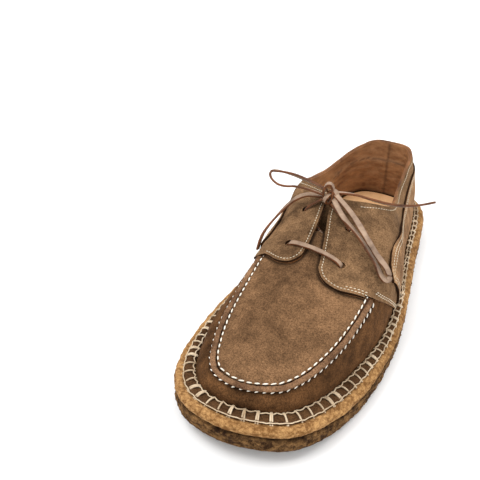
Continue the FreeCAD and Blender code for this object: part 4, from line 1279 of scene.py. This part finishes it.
def nurbs_points(route, resolution=10):
    """Points along the route's smooth line."""
    data = bpy.data.curves.new("route", "CURVE")
    data.dimensions = "3D"
    spline = data.splines.new("NURBS")
    spline.points.add(len(route) - 1)
    for point, q in zip(spline.points, route):
        point.co = (*(np.array(q) * MM), 1)
    spline.order_u = 3
    spline.use_endpoint_u = True
    spline.resolution_u = resolution
    obj = added("route", data)
    mesh = settled(obj)
    out = np.array([v.co for v in mesh.vertices])
    bpy.data.objects.remove(obj)
    bpy.data.meshes.remove(mesh)
    return out


def thong(name, path, faces_to, width=THONG_W, thick=THONG_T, closed=False):
    """Flat lace along path; faces_to gives the wide side's direction at even steps."""
    n = len(path)
    run = np.gradient(path, axis=0)
    if closed:
        run = np.roll(path, -1, 0) - np.roll(path, 1, 0)
    run /= np.linalg.norm(run, axis=1, keepdims=True)
    steps = np.linspace(0, len(faces_to) - 1, n)
    flat = np.array(faces_to, float)
    up = np.stack([np.interp(steps, range(len(flat)), flat[:, k]) for k in range(3)], -1)
    up -= run * (up * run).sum(1, keepdims=True)
    up /= np.linalg.norm(up, axis=1, keepdims=True)
    across = np.cross(run, up)
    w, h = width / 2 * MM, thick / 2 * MM
    section = [(-w, -h * .55), (-w * .9, -h), (w * .9, -h), (w, -h * .55), (w, h * .55),
               (w * .9, h), (w * .3, h * .94), (-w * .3, h * .94), (-w * .9, h), (-w, h * .55)]
    k = len(section)
    sway = 1 + np.array([noise.noise(Vector(p * 160)) for p in path]) * .14
    verts = np.concatenate([path[:, None] + across[:, None] * (a * sway[:, None, None])
                            + up[:, None] * b for a, b in section], 1)
    faces, kinds = [], []
    for i in range(n if closed else n - 1):
        for j in range(k):
            a, b = i * k + j, i * k + (j + 1) % k
            c, d = (i + 1) % n * k + (j + 1) % k, (i + 1) % n * k + j
            faces.append((a, b, c, d))
            kinds.append(1 if j in (0, 2, 3, 4, 8, 9) else 0)
    if not closed:
        faces += [tuple(range(k))[::-1], tuple((n - 1) * k + j for j in range(k))]
        kinds += [1, 1]
    obj = new_mesh(name, verts / MM, faces, [thong_hide, thong_edge], kinds)
    weld(obj, 1e-7)
    return obj


def under(x, y, depth):
    return tuple(on_top(x, y, -depth))


HOLE_DEPTH = -UPPER_CROSSING - .35
KNOT = np.array([-5.7, 7.5, 85.4])
RUN = [
    (-9.8, 5.8, 83.4), at_eyelet("upper_in", lift + .6), at_eyelet("upper_in", HOLE_DEPTH),
    under(-0.8, -15.0, UPPER_CROSSING), at_eyelet("lower_out", HOLE_DEPTH),
    at_eyelet("lower_out", lift + .5), (-0.2, -30.6, 68.3), at_eyelet("lower_in", lift + .8),
    at_eyelet("lower_in", HOLE_DEPTH), under(-3.0, -16.5, LOWER_CROSSING),
    at_eyelet("upper_out", HOLE_DEPTH), at_eyelet("upper_out", lift + .6), (-2.6, 4.2, 82.2)]
LOOP_MEDIAL = [
    (-8.6, 9.6, 88.4), (-25.2, 12.5, 91.5), (-40.0, 10.5, 94.5), (-50.4, 6.5, 95.5),
    (-45.5, -1.5, 93.0), (-37.0, -3.2, 90.5), (-26.0, 4.5, 90.0), (-9.9, 7.0, 85.8)]
LOOP_LATERAL = [
    (-1.9, 5.0, 85.6), (7.6, -6.0, 81.2), (15.0, -9.9, 78.0), (22.6, -13.6, 74.2),
    (30.2, -18.6, 69.6), (38.0, -25.2, 66.0), (44.8, -32.4, 60.6), (50.0, -33.2, 61.4),
    (46.8, -28.0, 65.8), (38.4, -23.4, 69.6), (30.2, -16.8, 74.2), (22.6, -10.6, 78.6),
    (15.0, -5.0, 83.0), (6.6, 0.2, 86.6), (-1.6, 6.8, 88.0)]
END_MEDIAL = [
    (-9.2, 10.2, 82.8), (-15.6, 9.2, 83.2), (-23.0, 8.4, 82.2), (-29.0, 4.6, 79.4),
    (-34.0, -0.6, 74.4), (-38.2, -6.6, 68.4), (-42.6, -12.4, 61.4), (-45.8, -16.0, 53.6),
    (-46.8, -18.0, 45.0)]
END_LATERAL = [
    (-3.2, 10.6, 87.3), (7.0, 11.4, 89.3), (20.8, 11.5, 88.2), (31.0, 14.5, 85.8),
    (39.5, 20.3, 83.2), (50.0, 30.0, 81.2), (57.5, 40.5, 80.2)]


def lace(name, route, faces_to, node):
    path = nurbs_points(route)
    obj = keep(thong(name, path, faces_to), SHOE, "lace", node)
    return obj


lace("lace_through_eyelets", RUN, [
    (-.3, .3, 1), (-1, .5, .6), (-1, .4, -.3), (0, 0, 1), (1, -.4, 0), (1, 0, .4), (0, -.2, 1),
    (-1, 0, .4), (-1, .3, 0), (0, 0, 1), (1, .2, -.3), (1, .3, .5), (.2, .3, 1)],
    "lace_run")
lace("lace_loop_inner_side", LOOP_MEDIAL, [
    (0, 1, .9), (0, 1, .7), (.2, .6, 1), (-.9, -.5, .5), (-.4, -.8, -.6), (-.2, -.6, -1),
    (.2, -.6, -1), (0, -.4, -1)], "lace_loop_medial")
lace("lace_loop_outer_side", LOOP_LATERAL, [
    (-.7, .3, .6), (-.6, .3, .8), (-.5, .4, .8), (-.4, .5, .8), (-.2, .6, .8), (0, .6, .8),
    (.3, -.2, 1), (.3, -.9, .4), (-.2, .4, -1), (-.2, .5, -1), (-.3, .6, -1), (-.3, .7, -.9),
    (-.3, .7, -.9), (-.3, .5, -1), (-.2, .3, -1)], "lace_loop_lateral")
lace("lace_end_inner_side", END_MEDIAL, [
    (0, 0, 1), (-.2, -.4, 1), (-.4, -.5, 1), (-.6, -.4, .9), (-.8, -.3, .7), (-1, -.2, .5),
    (-1, -.1, .3), (-1, 0, .1), (-1, 0, 0)], "lace_end_medial")
lace("lace_end_outer_side", END_LATERAL, [
    (0, .1, 1), (-.1, .5, .9), (-.2, .6, .8), (-.2, .6, .8), (-.3, .6, .8), (-.3, .5, .8),
    (-.3, .5, .8)], "lace_end_lateral")

turns = np.linspace(0, 2 * pi, 60, endpoint=False)
wraps = []
for k, (shift, rx, rz, tilt, w) in enumerate((
        ((-1.2, -.4, 2.4), 3.2, 7.2, .15, 4.2), ((1.9, .4, -.8), 3.6, 5.6, -.45, 3.8),
        ((.2, .6, -1.6), 4.8, 3.4, 1.0, 3.4))):
    ring = np.stack([rx * np.cos(turns), 0.5 * np.sin(turns * 2), rz * np.sin(turns)], -1)
    out = np.stack([np.cos(turns), 0 * turns, np.sin(turns)], -1)
    c, s = cos(tilt), sin(tilt)
    spin = np.array([[c, -s, 0], [s, c, 0], [0, 0, 1]])
    path = (ring @ spin.T + KNOT + np.array(shift)) * MM
    wraps.append(thong("wrap_%d" % k, path, list(out @ spin.T), w, 1.5, True))
keep(joined("lace_knot_wraps", wraps), SHOE, "lace", "lace_knot")

# ---- floor, light and camera --------------------------------------------------------------------
floor_mesh = bpy.data.meshes.new("floor")
floor_mesh.from_pydata([(-3, -3, -.0002), (3, -3, -.0002), (3, 3, -.0002), (-3, 3, -.0002)], [],
                       [(0, 1, 2, 3)])
floor = added("floor", floor_mesh)
paper = bpy.data.materials.new("White paper")
paper.use_nodes = True
fill(paper.node_tree.nodes["Principled BSDF"], {"Base Color": (.93, .93, .93, 1),
                                                "Roughness": .9})
floor_mesh.materials.append(paper)

world = bpy.data.worlds.new("Studio")
world.use_nodes = True
fill(world.node_tree.nodes["Background"], {"Color": (1, 1, 1, 1), "Strength": .85})
bpy.context.scene.world = world


def lamp(name, place, size, power):
    data = bpy.data.lights.new(name, "AREA")
    data.size = size
    data.energy = power
    obj = added(name, data)
    obj.location = place
    obj.rotation_euler = (Vector((0, 0, .04)) - Vector(place)).to_track_quat("-Z", "Y").to_euler()


lamp("key", (-.5, -.35, 1.1), .7, 9)
lamp("top", (.3, .5, 1.2), .9, 7)
lamp("fill", (.9, -.6, .6), .8, 3)

AZIMUTH, ELEVATION, FOCAL = radians(26.88), radians(34.45), 45.5
camera_data = bpy.data.cameras.new("camera")
camera_data.lens = FOCAL
camera_data.sensor_width = 36
camera_data.clip_start = .01
camera = added("camera", camera_data)
camera.location = (.1002, -.3357, .2927)
back = Vector((sin(AZIMUTH) * cos(ELEVATION), -cos(AZIMUTH) * cos(ELEVATION), sin(ELEVATION)))
camera.rotation_euler = (-back).to_track_quat("-Z", "Y").to_euler()
bpy.context.scene.camera = camera
bpy.context.scene.view_settings.view_transform = "Standard"
